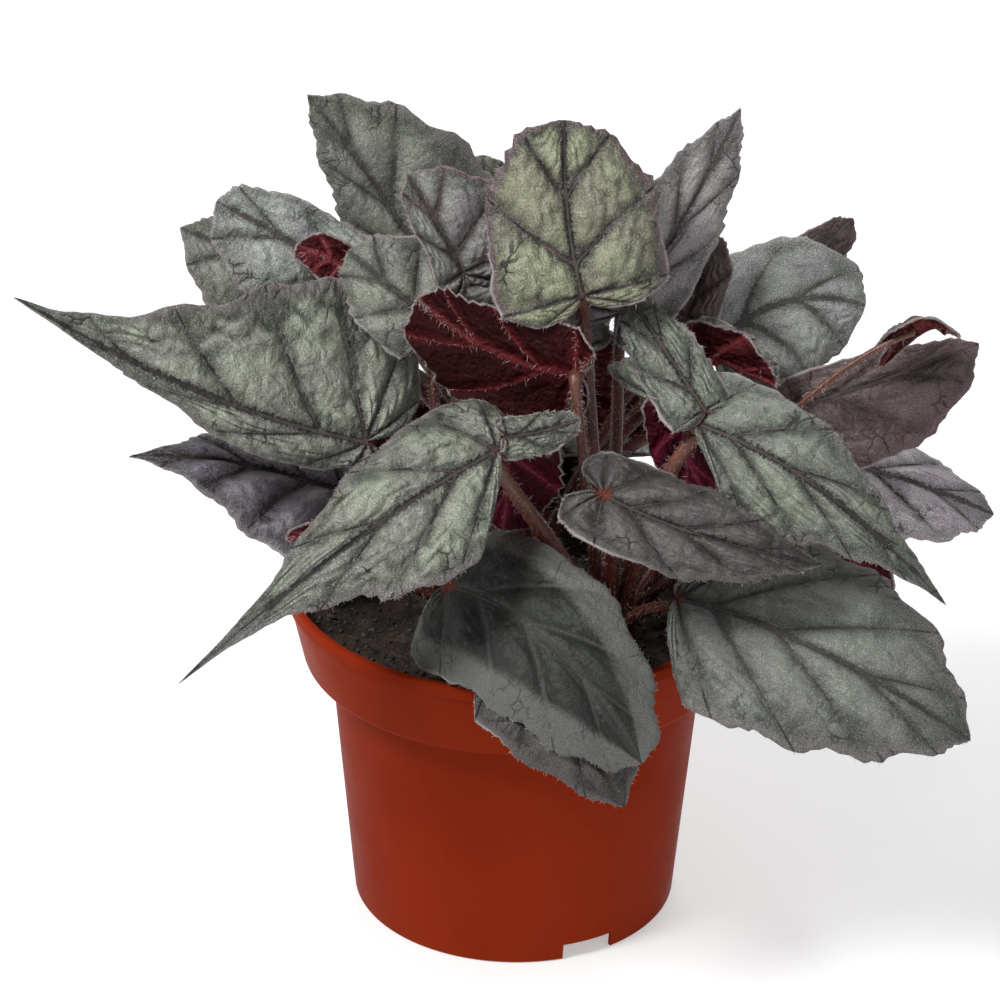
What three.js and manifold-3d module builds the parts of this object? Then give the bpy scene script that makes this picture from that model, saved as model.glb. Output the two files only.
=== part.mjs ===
// A potted rex begonia: a plastic nursery pot, the potting soil in it, three short crowns with
// their stalks, and the silver leaf blades that the stalks carry.
// Millimetres, +Z up. The origin is the middle of the circle on which the pot's feet stand, and the
// plant is seen from -Y, with +X to the right.

import * as THREE from "three";
import { mergeVertices } from "three/addons/utils/BufferGeometryUtils.js";
import Module from "manifold-3d";

const wasm = await Module();
wasm.setup();

// ---------------------------------------------------------------- driving dimensions

const GAP = 0.3; // clearance between pieces that touch
const SMALL = 0.01;

const POT = {
  height: 92,
  rimRadius: 60, // outside of the lip
  collarFoot: 70, // height at which the collar stands out from the body
  collarFootRadius: 55,
  bodyTopRadius: 48.3,
  footRadius: 41.8,
  wall: 1.3,
  lip: 2.2, // thickness of the lip
  lipDepth: 4,
  floor: 5.5, // height of the raised floor above the feet
  floorThickness: 1.6,
  sides: 48,
};
const NOTCH = { count: 3, firstAngle: 27.5, width: 14, height: 4.5 }; // angle from the front
const DRAIN = { count: 6, radius: 4, ring: 26, sides: 12 };

const SOIL = { top: 83, lump: 1.1, rings: 4 };

const BLADE = {
  thickness: 0.7,
  veins: 7, // main side veins on each half of a large leaf
  fewVeins: 5, // and of one whose midrib is shorter than
  shortMidrib: 51,
  columns: 3, // cells from the midrib to the margin
  quilt: 1.1, // how far the blade puffs up between two veins
  scallop: 0.035, // how far the margin swings in and out at each vein, as a share of its distance
  ripples: 2.5, // waves along each half's margin
  lobeBend: 0.35, // share of a basal lobe in which it bends down
};

const STALK = {
  sides: 6,
  steps: 6,
  foot: 2, // height of a stalk's foot above the soil, inside its crown
  start: 0.5, // distance of a stalk's foot from its crown's middle, in crown radii
  clear: 0.6, // extra clearance between a stalk's end and its blade
};

const CROWN = { rise: 7, sink: 12, sides: 12 };
const CROWNS = {
  left: { at: [-17, -4], radius: 6 },
  right: { at: [24, -14], radius: 7 },
  back: { at: [4, 20], radius: 6.5 },
};

// Half of a flat blade, from the notch behind the stalk round the basal lobe to the tip:
// [along the midrib, across it, where the vein to that point leaves the midrib]. Lengths behind the
// stalk are in lobe lengths, the others in midrib lengths, and across in half widths.
const ROUND_HALF = [
  [-0.45, 0.08, 0],
  [-0.9, 0.28, 0],
  [-0.95, 0.6, 0],
  [-0.4, 0.9, 0],
  [0.22, 1.0, 0],
  [0.49, 0.98, 0.12],
  [0.73, 0.83, 0.3],
  [0.9, 0.55, 0.52],
  [0.98, 0.25, 0.76],
  [1, 0, 1],
];
const POINTED_HALF = [
  [-0.45, 0.08, 0],
  [-0.9, 0.28, 0],
  [-0.95, 0.6, 0],
  [-0.4, 0.9, 0],
  [0.17, 1.0, 0],
  [0.38, 0.86, 0.12],
  [0.58, 0.58, 0.3],
  [0.75, 0.31, 0.52],
  [0.89, 0.11, 0.76],
  [1, 0, 1],
];

// Each leaf: the crown it grows from, its midrib as [stalk end, middle, tip], and the way that its
// upper side faces at the stalk and at the tip. Pairs are for the left and the right half, as seen
// from the stalk towards the tip with the upper side up: half width, length of the basal lobe,
// angle in degrees at which the half rises from the midrib, how much further it curls up on the way
// out, and how far the lobe is bent down. "point" is 0 for a round leaf and 1 for a drawn-out one,
// "wave" is the height of the ripples of its margin, "stalk" the stalk's radius, "lean" the way the
// stalk leaves its crown, and "arrive" the length over which it straightens to meet the blade, from
// straight below or from the side "from". "sweep" slants a half towards the tip.
const LEAVES = [
  {
    name: "left_long", crown: "left",
    rib: [[-39, -8, 134], [-80, -18, 153], [-126, -16, 178]],
    face: [[0.1, -0.6, 0.8], [0, -0.5, 0.85]],
    half: [10, 40], lobe: [8, 18], fold: [-20, 5], curl: [-60, 10], hang: [5, 10],
    sweep: [0.9, 0],
    point: 1.1, wave: 1.6, stalk: 1.7, lean: [-6, -4, 20], arrive: 14,
  },
  {
    name: "left_upper", crown: "back",
    rib: [[-51, 38, 152], [-70, 41, 161], [-88, 44, 168]],
    face: [[0, -0.8, 0.6], [0, -0.7, 0.7]],
    half: [22, 14], lobe: [8, 8], fold: [0, 0], curl: [-20, -10], hang: [10, 10],
    point: 0.5, wave: 1.2, stalk: 1.4, lean: [-4, 8, 30], arrive: 14,
  },
  {
    name: "left_top", crown: "back",
    rib: [[-38, 28, 157], [-58, 31, 170], [-78, 33, 181]],
    face: [[0, -0.85, 0.5], [0, -0.8, 0.6]],
    half: [18, 12], lobe: [6, 6], fold: [0, 0], curl: [-15, -15], hang: [10, 10],
    point: 0, wave: 1.2, stalk: 1.5, lean: [-4, 10, 30], arrive: 14,
  },
  {
    name: "top_left", crown: "back",
    rib: [[-21, 34, 156], [-37, 40, 182], [-55, 42, 207]],
    face: [[0.1, -0.95, 0.3], [0, -0.95, 0.3]],
    half: [14, 27], lobe: [10, 12], fold: [0, 0], curl: [-15, -10], hang: [10, 10],
    point: 0.5, wave: 1.2, stalk: 1.8, lean: [-2, 2, 35], arrive: 14,
  },
  {
    name: "top_middle", crown: "back",
    rib: [[-13, 46, 163], [-11, 51, 174], [-10, 56, 184]],
    face: [[0, -0.9, 0.4], [0, -0.9, 0.4]],
    half: [10, 10], lobe: [6, 6], fold: [0, 0], curl: [-20, -20], hang: [10, 10],
    point: 0, wave: 1, stalk: 1.4, lean: [0, 2, 35], arrive: 12,
  },
  {
    name: "young_cupped", crown: "left",
    rib: [[-15, 0, 178], [-21, 2, 190], [-29, 5, 203]],
    face: [[0.1, -0.95, 0.35], [0.1, -0.95, 0.3]],
    half: [8, 20], lobe: [5, 8], fold: [20, 0], curl: [20, 15], hang: [10, 10],
    point: 0.2, wave: 1.2, stalk: 1.2, lean: [0, 2, 40], arrive: 12,
  },
  {
    name: "middle_round", crown: "right",
    rib: [[15, -14, 179], [11, -6, 199], [10, 4, 219]],
    face: [[0, -0.87, 0.48], [0, -0.9, 0.4]],
    half: [21, 23], lobe: [5, 5], fold: [5, 5], curl: [-20, -20], hang: [-20, -20],
    point: 0, wave: 1.4, stalk: 1.8, lean: [0, 0, 40], arrive: 18,
  },
  {
    name: "top_right", crown: "right",
    rib: [[25, 4, 166], [41, 10, 191], [54, 14, 218]],
    face: [[0, -0.95, 0.3], [0.1, -0.95, 0.3]],
    half: [15, 12], lobe: [8, 8], fold: [10, 0], curl: [0, -15], hang: [10, 10],
    point: 0.5, wave: 1, stalk: 1.6, lean: [0, 2, 40], arrive: 14,
  },
  {
    name: "right_small_brown", crown: "back",
    rib: [[42, 17, 158], [46, 20, 170], [48, 21, 180]],
    face: [[-0.3, -0.95, 0.3], [0, -0.95, 0.3]],
    half: [7, 8], lobe: [4, 4], fold: [20, 0], curl: [30, -20], hang: [10, 10],
    point: 0.2, wave: 1.2, stalk: 1.2, lean: [4, -2, 32], arrive: 10,
  },
  {
    name: "right_upper", crown: "back",
    rib: [[50, 20, 149], [68, 24, 159], [88, 26, 157]],
    face: [[-0.1, -0.75, 0.65], [0.2, -0.7, 0.7]],
    half: [18, 24], lobe: [8, 6], fold: [0, -10], curl: [-10, -20], hang: [10, 10],
    point: 0, wave: 1.2, stalk: 1.6, lean: [4, -2, 32], arrive: 12,
  },
  {
    name: "right_back_brown", crown: "back",
    rib: [[64, 34, 156], [75, 38, 165], [85, 42, 174]],
    face: [[0.1, -0.95, 0.3], [0.1, -0.95, 0.3]],
    half: [7, 8], lobe: [4, 4], fold: [0, 0], curl: [0, -20], hang: [10, 10],
    point: 0.2, wave: 1.2, stalk: 1.2, lean: [6, 4, 32], arrive: 10,
  },
  {
    name: "right_arched", crown: "right",
    rib: [[98, 0, 165], [104, -4, 168], [110, -8, 166]],
    face: [[-0.1, 0.75, 0.6], [0.3, 0.75, 0.6]],
    half: [7, 7], lobe: [16, 12], fold: [0, -10], curl: [0, -20], hang: [20, 20],
    point: 0.5, wave: 0.6, stalk: 0.9, lean: [12, 6, 26], arrive: 26, from: [-0.9, 0, -0.35],
  },
  {
    name: "right_brown", crown: "right",
    rib: [[70, 6, 138], [94, 8, 146], [116, 8, 156]],
    face: [[0, -0.8, 0.6], [0, -0.8, 0.6]],
    half: [8, 20], lobe: [6, 8], fold: [0, 0], curl: [20, -20], hang: [10, 10],
    point: 0.3, wave: 1.4, stalk: 1.5, lean: [8, 4, 24], arrive: 12,
  },
  {
    name: "right_mauve", crown: "right",
    rib: [[70, 12, 122], [96, 12, 115], [123, 18, 101]],
    face: [[0.2, -0.5, 0.85], [0.3, -0.5, 0.85]],
    half: [18, 18], lobe: [10, 8], fold: [-10, -10], curl: [-10, -20], hang: [10, 10],
    point: 0.2, wave: 1.4, stalk: 1.5, lean: [8, 4, 20], arrive: 12,
  },
  {
    name: "right_folded", crown: "right",
    rib: [[43, 4, 153], [54, 0, 152], [65, -5, 150]],
    face: [[0, -0.1, 1], [0.2, -0.1, 1]],
    half: [13, 11], lobe: [4, 5], fold: [25, 85], curl: [-10, 20], hang: [10, 0],
    point: 0.3, wave: 1, stalk: 1.4, lean: [5, 2, 26], arrive: 12,
  },
  {
    name: "right_big", crown: "right",
    rib: [[44, -28, 151], [74, -44, 142], [106, -56, 116]],
    face: [[-0.1, -0.65, 0.75], [0.3, -0.6, 0.75]],
    half: [17, 17], lobe: [29, 3], fold: [5, -20], curl: [-20, -20], hang: [0, 0],
    sweep: [0, 1.2],
    point: 0.9, wave: 1.6, stalk: 2, lean: [0, -4, 20], arrive: 16, from: [-0.7, -0.4, -0.6],
  },
  {
    name: "front_left_big", crown: "right",
    rib: [[-6, -36, 147], [-41, -62, 135], [-83, -78, 104]],
    face: [[-0.1, -0.6, 0.75], [-0.3, -0.6, 0.75]],
    half: [21, 20], lobe: [3, 13], fold: [-5, 10], curl: [-20, -30], hang: [0, 20],
    sweep: [1.15, 0],
    point: 1.25, wave: 1.6, stalk: 2.1, lean: [-5, -4, 18], arrive: 16, from: [0.5, -0.12, -0.85],
  },
  {
    name: "front_right", crown: "right",
    rib: [[40, -34, 104], [72, -54, 103], [113, -64, 82]],
    face: [[0.2, -0.6, 0.8], [0.3, -0.7, 0.7]],
    half: [30, 27], lobe: [10, 3], fold: [0, 0], curl: [-15, -20], hang: [10, 10],
    sweep: [0.5, 0.7],
    point: 0.25, wave: 1.4, stalk: 1.7, lean: [4, -4, 6], arrive: 12, from: [-0.9, 0.35, -0.1],
  },
  {
    name: "front_hanging", crown: "left",
    rib: [[-17, -34, 107], [7, -62, 108], [31, -77, 82]],
    face: [[-0.1, -0.7, 0.7], [0.1, -0.85, 0.5]],
    half: [20, 22], lobe: [10, 10], fold: [0, 0], curl: [-20, -20], hang: [10, 10],
    point: 0, wave: 1.2, stalk: 1.7, lean: [0, -6, 10], arrive: 8,
  },
  {
    name: "front_under", crown: "left",
    rib: [[-3, -57, 98], [11, -71, 92], [27, -78, 70]],
    face: [[-0.1, -0.7, 0.7], [0.1, -0.85, 0.5]],
    half: [19, 16], lobe: [3, 3], fold: [0, 0], curl: [-20, -20], hang: [10, 10],
    point: 0.3, wave: 1.2, stalk: 1.5, lean: [0, -8, 3], arrive: 5, from: [0, 0.9, -0.3],
  },
  {
    name: "right_narrow", crown: "right",
    rib: [[21, -38, 136], [45, -51, 132], [75, -54, 126]],
    face: [[0, -0.5, 0.85], [0, -0.6, 0.8]],
    half: [14, 14], lobe: [12, 9], fold: [5, 5], curl: [-10, -10], hang: [10, 10],
    point: 0.5, wave: 1.4, stalk: 1.5, lean: [0, -3, 22], arrive: 10,
  },
  {
    name: "right_low", crown: "right",
    rib: [[66, -6, 113], [82, -12, 107], [96, -16, 98]],
    face: [[0.1, 0.8, 0.2], [0.1, 0.8, 0.2]],
    half: [12, 12], lobe: [6, 6], fold: [0, 0], curl: [-10, -10], hang: [10, 10],
    point: 0.4, wave: 1, stalk: 1.3, lean: [6, 0, 14], arrive: 10,
  },
  {
    name: "left_dark", crown: "left",
    rib: [[-46, 6, 112], [-74, 2, 122], [-99, -4, 127]],
    face: [[0, -0.5, 0.85], [0, -0.5, 0.85]],
    half: [22, 17], lobe: [10, 10], fold: [0, 0], curl: [-10, -10], hang: [10, 10],
    point: 1.1, wave: 1.2, stalk: 1.5, lean: [-6, 2, 16], arrive: 12,
  },
  {
    name: "left_young", crown: "left",
    rib: [[-48, -15, 107], [-53, -18, 112], [-59, -19, 112]],
    face: [[0.2, 0.8, 0.2], [0.2, 0.8, 0.2]],
    half: [5, 5], lobe: [3, 3], fold: [10, 10], curl: [0, 0], hang: [0, 0],
    point: 0.3, wave: 0.5, stalk: 0.9, lean: [-8, -2, 10], arrive: 5,
  },
  {
    name: "middle_red", crown: "right",
    rib: [[14, -19, 160], [-7, -13, 163], [-26, -5, 174]],
    face: [[0.2, 0.85, 0.1], [0.2, 0.85, 0.1]],
    half: [13, 21], lobe: [5, 5], fold: [0, 0], curl: [10, 10], hang: [0, 0],
    sweep: [0, 0.3],
    point: 0, wave: 1.8, stalk: 1.4, lean: [-2, 0, 26], arrive: 16, from: [0.1, -0.25, -0.97],
  },
  {
    name: "middle_back", crown: "back",
    rib: [[14, 6, 154], [2, 6, 161], [-8, 6, 168]],
    face: [[0, -0.9, 0.4], [0, -0.9, 0.4]],
    half: [12, 12], lobe: [8, 7], fold: [0, 0], curl: [-10, -10], hang: [0, 0],
    point: 0.2, wave: 1, stalk: 1.3, lean: [0, -2, 30], arrive: 10,
  },
  {
    name: "left_curled", crown: "left",
    rib: [[-23, 6, 162], [-33, 10, 169], [-44, 14, 177]],
    face: [[0.2, -0.9, 0.35], [0.1, -0.9, 0.35]],
    half: [13, 15], lobe: [3, 4], fold: [0, 0], curl: [-10, -10], hang: [10, 10],
    point: 0.1, wave: 1.2, stalk: 1.4, lean: [-2, 0, 34], arrive: 10,
  },
  {
    name: "left_red_small", crown: "back",
    rib: [[-46, 22, 168], [-52, 24, 171], [-58, 26, 169]],
    face: [[0, 0.8, -0.3], [0, 0.8, -0.3]],
    half: [6, 6], lobe: [4, 4], fold: [0, 0], curl: [0, 0], hang: [0, 0],
    point: 0.3, wave: 0.6, stalk: 1, lean: [-4, 18, 36], arrive: 5, from: [0.5, 0.15, -0.85],
  },
  {
    name: "back_left", crown: "back",
    rib: [[-27, 47, 113], [-47, 61, 130], [-67, 75, 128]],
    face: [[-0.2, 0.75, 0.6], [-0.4, 0.6, 0.7]],
    half: [17, 25], lobe: [12, 10], fold: [0, 0], curl: [-20, -20], hang: [10, 10],
    point: 0.5, wave: 1.4, stalk: 1.7, lean: [-4, 4, 26], arrive: 12,
  },
  {
    name: "back_middle", crown: "back",
    rib: [[11, 41, 118], [9, 55, 138], [4, 79, 140]],
    face: [[0, 0.85, 0.5], [0, 0.6, 0.8]],
    half: [17, 20], lobe: [9, 9], fold: [0, 0], curl: [-20, -20], hang: [10, 10],
    point: 0.3, wave: 1.4, stalk: 1.8, lean: [0, 6, 28], arrive: 12,
  },
  {
    name: "back_right", crown: "back",
    rib: [[36, 42, 115], [54, 57, 134], [74, 74, 132]],
    face: [[0.2, 0.75, 0.6], [0.4, 0.6, 0.7]],
    half: [25, 14], lobe: [6, 8], fold: [0, 0], curl: [-20, -20], hang: [10, 10],
    point: 0.6, wave: 1.4, stalk: 1.7, lean: [4, 4, 26], arrive: 12,
  },
  {
    name: "back_low", crown: "back",
    rib: [[17, 36, 94], [19, 52, 106], [22, 73, 106]],
    face: [[0, 0.75, 0.65], [0, 0.5, 0.85]],
    half: [17, 22], lobe: [5, 5], fold: [0, 0], curl: [-20, -20], hang: [10, 10],
    point: 0.4, wave: 1.2, stalk: 1.6, lean: [2, 6, 12], arrive: 10,
  },
];

// Basal lobes that turn under their blade or stand up from it. Each is one with it, and described
// like a leaf.
const TURNED_LOBES = [
  {
    of: "front_left_big",
    rib: [[-5, -30, 149], [-3, -27, 133], [-4, -26, 119]],
    face: [[0, 0.9, 0.4], [0, 0.9, 0.4]],
    half: [10, 14], lobe: [1.5, 1.5], fold: [0, 0], curl: [15, 15], hang: [0, 0],
    point: 0, wave: 1.4,
  },
  {
    of: "front_left_big",
    rib: [[-4, -33, 149.5], [5, -29, 149], [15, -27, 151.5]],
    face: [[0.1, -0.8, 0.6], [0, -0.85, 0.5]],
    half: [5, 6], lobe: [1.5, 1.5], fold: [0, 0], curl: [-10, -10], hang: [0, 0],
    point: 0, wave: 0.8,
  },
  {
    of: "right_big",
    rib: [[42, -24, 153], [42, -21, 139], [49, -19, 124]],
    face: [[0.1, 0.9, 0.4], [0.1, 0.9, 0.4]],
    half: [11, 9], lobe: [1.5, 1.5], fold: [0, 0], curl: [15, 15], hang: [0, 0],
    point: 0.4, wave: 1.2,
  },
  {
    of: "right_big",
    rib: [[46, -27, 154], [37, -17, 164], [28, -5, 173]],
    face: [[0.1, -0.8, 0.6], [0, -0.9, 0.4]],
    half: [10, 8], lobe: [1.5, 1.5], fold: [0, 0], curl: [-10, -10], hang: [0, 0],
    point: 0, wave: 1.2,
  },
];

const COLOURS = {
  pot: 0x9c3a24,
  soil: 0x1d1713,
  stalks: 0x6b2c22,
  blade: 0x7d8a7c,
};

// ---------------------------------------------------------------- solids

const vec = (xyz) => new THREE.Vector3(...xyz);
const radians = THREE.MathUtils.degToRad;

function withoutSlivers(geometry) {
  const corners = geometry.index.array;
  const kept = [];
  for (let i = 0; i < corners.length; i += 3) {
    const [a, b, c] = [corners[i], corners[i + 1], corners[i + 2]];
    if (a !== b && b !== c && c !== a) {
      kept.push(a, b, c);
    }
  }
  geometry.setIndex(kept);
  return geometry;
}

function welded(geometry) {
  const bare = geometry.clone();
  bare.deleteAttribute("normal");
  bare.deleteAttribute("uv");
  return withoutSlivers(mergeVertices(bare, 1e-4));
}

function toSolid(geometry) {
  const shell = welded(geometry);
  const vertProperties = new Float32Array(shell.attributes.position.array);
  const triVerts = new Uint32Array(shell.index.array);
  return new wasm.Manifold(new wasm.Mesh({ numProp: 3, vertProperties, triVerts }));
}

function toGeometry(solid) {
  const mesh = solid.getMesh();
  const geometry = new THREE.BufferGeometry();
  geometry.setAttribute("position", new THREE.BufferAttribute(mesh.vertProperties, 3));
  geometry.setIndex(new THREE.BufferAttribute(mesh.triVerts, 1));
  return geometry;
}

function turned(profile, sides) {
  const points = profile.map(([radius, height]) => new THREE.Vector2(radius, height));
  return new THREE.LatheGeometry(points, sides).rotateX(Math.PI / 2);
}

function upright(radius, bottom, top, sides, [x, y] = [0, 0]) {
  const cylinder = new THREE.CylinderGeometry(radius, radius, top - bottom, sides);
  return cylinder.rotateX(Math.PI / 2).translate(x, y, (top + bottom) / 2);
}

// ---------------------------------------------------------------- pot and soil

const innerFloor = POT.floor + POT.floorThickness;

function bodyRadius(height) {
  return THREE.MathUtils.mapLinear(height, 0, POT.collarFoot, POT.footRadius, POT.bodyTopRadius);
}

function collarRadius(height) {
  const { collarFoot, collarFootRadius, rimRadius } = POT;
  return THREE.MathUtils.mapLinear(height, collarFoot, POT.height, collarFootRadius, rimRadius);
}

function potSolid() {
  const { height, wall, lip, lipDepth, collarFoot, collarFootRadius, floor, sides } = POT;
  const shell = toSolid(turned([
    [0, floor],
    [bodyRadius(floor) - wall, floor],
    [bodyRadius(0) - wall, 0],
    [bodyRadius(0), 0],
    [POT.bodyTopRadius, collarFoot],
    [collarFootRadius, collarFoot],
    [POT.rimRadius, height - 1],
    [POT.rimRadius - 0.6, height],
    [POT.rimRadius - lip + 0.6, height],
    [POT.rimRadius - lip, height - 1],
    [collarRadius(height - lipDepth) - wall, height - lipDepth],
    [collarRadius(collarFoot + wall) - wall, collarFoot + wall],
    [POT.bodyTopRadius - wall, collarFoot + wall],
    [bodyRadius(innerFloor) - wall, innerFloor],
    [0, innerFloor],
  ], sides));
  const cuts = [];
  for (let i = 0; i < NOTCH.count; i++) {
    const notch = new THREE.BoxGeometry(NOTCH.width, POT.footRadius, 2 * NOTCH.height);
    notch.translate(0, -POT.footRadius, 0);
    notch.rotateZ(radians(NOTCH.firstAngle + (i * 360) / NOTCH.count));
    cuts.push(toSolid(notch));
  }
  for (let i = 0; i < DRAIN.count; i++) {
    const angle = ((i + 0.5) * 2 * Math.PI) / DRAIN.count;
    const middle = [DRAIN.ring * Math.cos(angle), DRAIN.ring * Math.sin(angle)];
    cuts.push(toSolid(upright(DRAIN.radius, floor - 1, innerFloor + 1, DRAIN.sides, middle)));
  }
  return cuts.reduce((pot, cut) => pot.subtract(cut), shell);
}

function soilLumps(x, y) {
  const coarse = Math.sin(x * 0.16 + 1.3) * Math.cos(y * 0.19 - 0.4);
  const fine = Math.sin(x * 0.47 - y * 0.31) * Math.cos(y * 0.53 + x * 0.12);
  return SOIL.lump * (0.6 * coarse + 0.4 * fine);
}

function soilSolid() {
  const clear = POT.wall + GAP;
  const ledge = POT.collarFoot + clear;
  const edge = collarRadius(SOIL.top) - clear;
  const profile = [
    [0, innerFloor + GAP],
    [bodyRadius(innerFloor) - clear, innerFloor + GAP],
    [POT.bodyTopRadius - clear, ledge],
    [collarRadius(ledge) - clear - GAP, ledge],
  ];
  for (let ring = SOIL.rings; ring >= 0; ring--) {
    profile.push([(edge * ring) / SOIL.rings, SOIL.top]);
  }
  const heap = turned(profile, POT.sides);
  const position = heap.attributes.position;
  for (let i = 0; i < position.count; i++) {
    if (position.getZ(i) > SOIL.top - GAP) {
      position.setZ(i, SOIL.top + soilLumps(position.getX(i), position.getY(i)));
    }
  }
  let soil = toSolid(heap);
  for (const { at, radius } of Object.values(CROWNS)) {
    const bottom = SOIL.top - CROWN.sink - GAP;
    const top = SOIL.top + 2 * SOIL.lump;
    soil = soil.subtract(toSolid(upright(radius + GAP, bottom, top, CROWN.sides, at)));
  }
  return soil;
}

// ---------------------------------------------------------------- leaf blades

function bladeFrame(leaf, along) {
  const share = THREE.MathUtils.clamp(along, 0, 1);
  const tangent = leaf.midrib.getTangent(share);
  const normal = vec(leaf.face[0]).lerp(vec(leaf.face[1]), share);
  normal.addScaledVector(tangent, -normal.dot(tangent)).normalize();
  return { middle: leaf.midrib.getPoint(share), tangent, normal };
}

// A point of the blade's middle surface before its lobe is bent down, and the way up there.
function sheetPoint(leaf, side, along, across) {
  const { middle, tangent, normal } = bladeFrame(leaf, along / leaf.length);
  const outwards = tangent.cross(normal).multiplyScalar(side ? 1 : -1);
  const rise = radians(leaf.fold[side]);
  const curl = radians(leaf.curl[side]) / leaf.half[side] + 1e-9;
  const end = rise + curl * across;
  middle.addScaledVector(outwards, (Math.sin(end) - Math.sin(rise)) / curl);
  middle.addScaledVector(normal, (Math.cos(rise) - Math.cos(end)) / curl);
  normal.multiplyScalar(Math.cos(end)).addScaledVector(outwards, -Math.sin(end));
  return { point: middle, normal };
}

// The same with the lobe behind the stalk bent down: side is 0 for the left half and 1 for the
// right one.
function bladePoint(leaf, side, along, across, lift) {
  const { point, normal } = sheetPoint(leaf, side, Math.max(along, 0), across);
  if (along >= 0) {
    return point.addScaledVector(normal, lift);
  }
  const { tangent } = bladeFrame(leaf, 0);
  const bend = BLADE.lobeBend * leaf.lobe[side];
  const bent = Math.min(-along, bend);
  const straight = -along - bent;
  const turn = (radians(leaf.hang[side]) * bent) / bend + 1e-9;
  const reach = (bent * Math.sin(turn)) / turn + straight * Math.cos(turn);
  const drop = (bent * (1 - Math.cos(turn))) / turn + straight * Math.sin(turn);
  point.addScaledVector(tangent, -reach - lift * Math.sin(turn));
  return point.addScaledVector(normal, lift * Math.cos(turn) - drop);
}

// Row "share" of a half runs along a vein or midway between two, from the midrib (reach 0) to the
// margin (reach 1).
function rowPoint(leaf, side, share, reach) {
  const { x: along, y: across, z } = leaf.outline.getPoint(share);
  const foot = z < 0.01 ? 0 : z;
  const turn = 2 * Math.PI * leaf.veins * share;
  const out = reach * (1 + BLADE.scallop * reach ** 2 * Math.cos(turn));
  const puff = ((BLADE.quilt * (1 - Math.cos(turn))) / 2) * Math.sin(Math.PI * reach ** 0.8);
  const phase = 2 * Math.PI * (BLADE.ripples * share + leaf.ripplePhase + side / 2);
  const ripple = leaf.wave * reach ** 2 * Math.sin(phase) * Math.sin(Math.PI * share);
  const v = across * out * leaf.half[side];
  const scale = along < 0 ? leaf.lobe[side] : leaf.length;
  const swept = (leaf.sweep?.[side] ?? 0) * v * (1 - Math.max(along, 0));
  const u = foot * leaf.length * (1 - out) + along * scale * out + swept;
  return bladePoint(leaf, side, u, v, puff + ripple);
}

function middleSurface(leaf) {
  const rows = 2 * leaf.veins;
  const corners = [];
  for (const side of [0, 1]) {
    const at = (row, column) => rowPoint(leaf, side, row / rows, column / BLADE.columns);
    for (let row = 0; row < rows; row++) {
      for (let column = 0; column < BLADE.columns; column++) {
        const [a, b] = [at(row, column), at(row, column + 1)];
        const [c, d] = [at(row + 1, column + 1), at(row + 1, column)];
        const faces = row % 2 ? [a, b, c, a, c, d] : [a, b, d, b, c, d];
        corners.push(...(side ? faces : faces.reverse()));
      }
    }
  }
  return welded(new THREE.BufferGeometry().setFromPoints(corners));
}

// Both faces and the margin of a blade, half its thickness above and below its middle surface.
function thickened(surface, thickness) {
  surface.computeVertexNormals();
  const { position, normal } = surface.attributes;
  const corners = Array.from(surface.index.array);
  const count = position.count;
  const points = [];
  for (const offset of [thickness / 2, -thickness / 2]) {
    for (let i = 0; i < count; i++) {
      const point = new THREE.Vector3().fromBufferAttribute(position, i);
      const outwards = new THREE.Vector3().fromBufferAttribute(normal, i);
      points.push(point.addScaledVector(outwards, offset));
    }
  }
  const edges = new Set();
  for (let i = 0; i < corners.length; i += 3) {
    for (const [j, k] of [[0, 1], [1, 2], [2, 0]]) {
      edges.add(`${corners[i + j]} ${corners[i + k]}`);
    }
  }
  const faces = [...corners, ...corners.map((corner) => corner + count).reverse()];
  for (const edge of edges) {
    const [a, b] = edge.split(" ").map(Number);
    if (!edges.has(`${b} ${a}`)) {
      faces.push(b, a, a + count, b, a + count, b + count);
    }
  }
  const geometry = new THREE.BufferGeometry().setFromPoints(points);
  geometry.setIndex(faces);
  return geometry;
}

function prepared(leaf, index) {
  const [start, middle, tip] = leaf.rib.map(vec);
  const pull = middle.clone().multiplyScalar(2).addScaledVector(start, -0.5);
  pull.addScaledVector(tip, -0.5);
  const half = ROUND_HALF.map((point, i) => {
    return vec(point).lerp(vec(POINTED_HALF[i]), leaf.point);
  });
  const midrib = new THREE.QuadraticBezierCurve3(start, pull, tip);
  const length = midrib.getLength();
  return {
    ...leaf,
    midrib,
    length,
    veins: length < BLADE.shortMidrib ? BLADE.fewVeins : BLADE.veins,
    outline: new THREE.CatmullRomCurve3(half, false, "catmullrom", 0.5),
    ripplePhase: (index * 0.382) % 1,
  };
}

function bladeGeometry(leaf) {
  const lobes = TURNED_LOBES.filter((lobe) => lobe.of === leaf.name).map(prepared);
  const blade = thickened(middleSurface(leaf), BLADE.thickness);
  if (lobes.length === 0) {
    return blade;
  }
  const sheets = lobes.map((lobe) => toSolid(thickened(middleSurface(lobe), BLADE.thickness)));
  return toGeometry(sheets.reduce((joined, sheet) => joined.add(sheet), toSolid(blade)));
}

// ---------------------------------------------------------------- crowns and stalks

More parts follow.
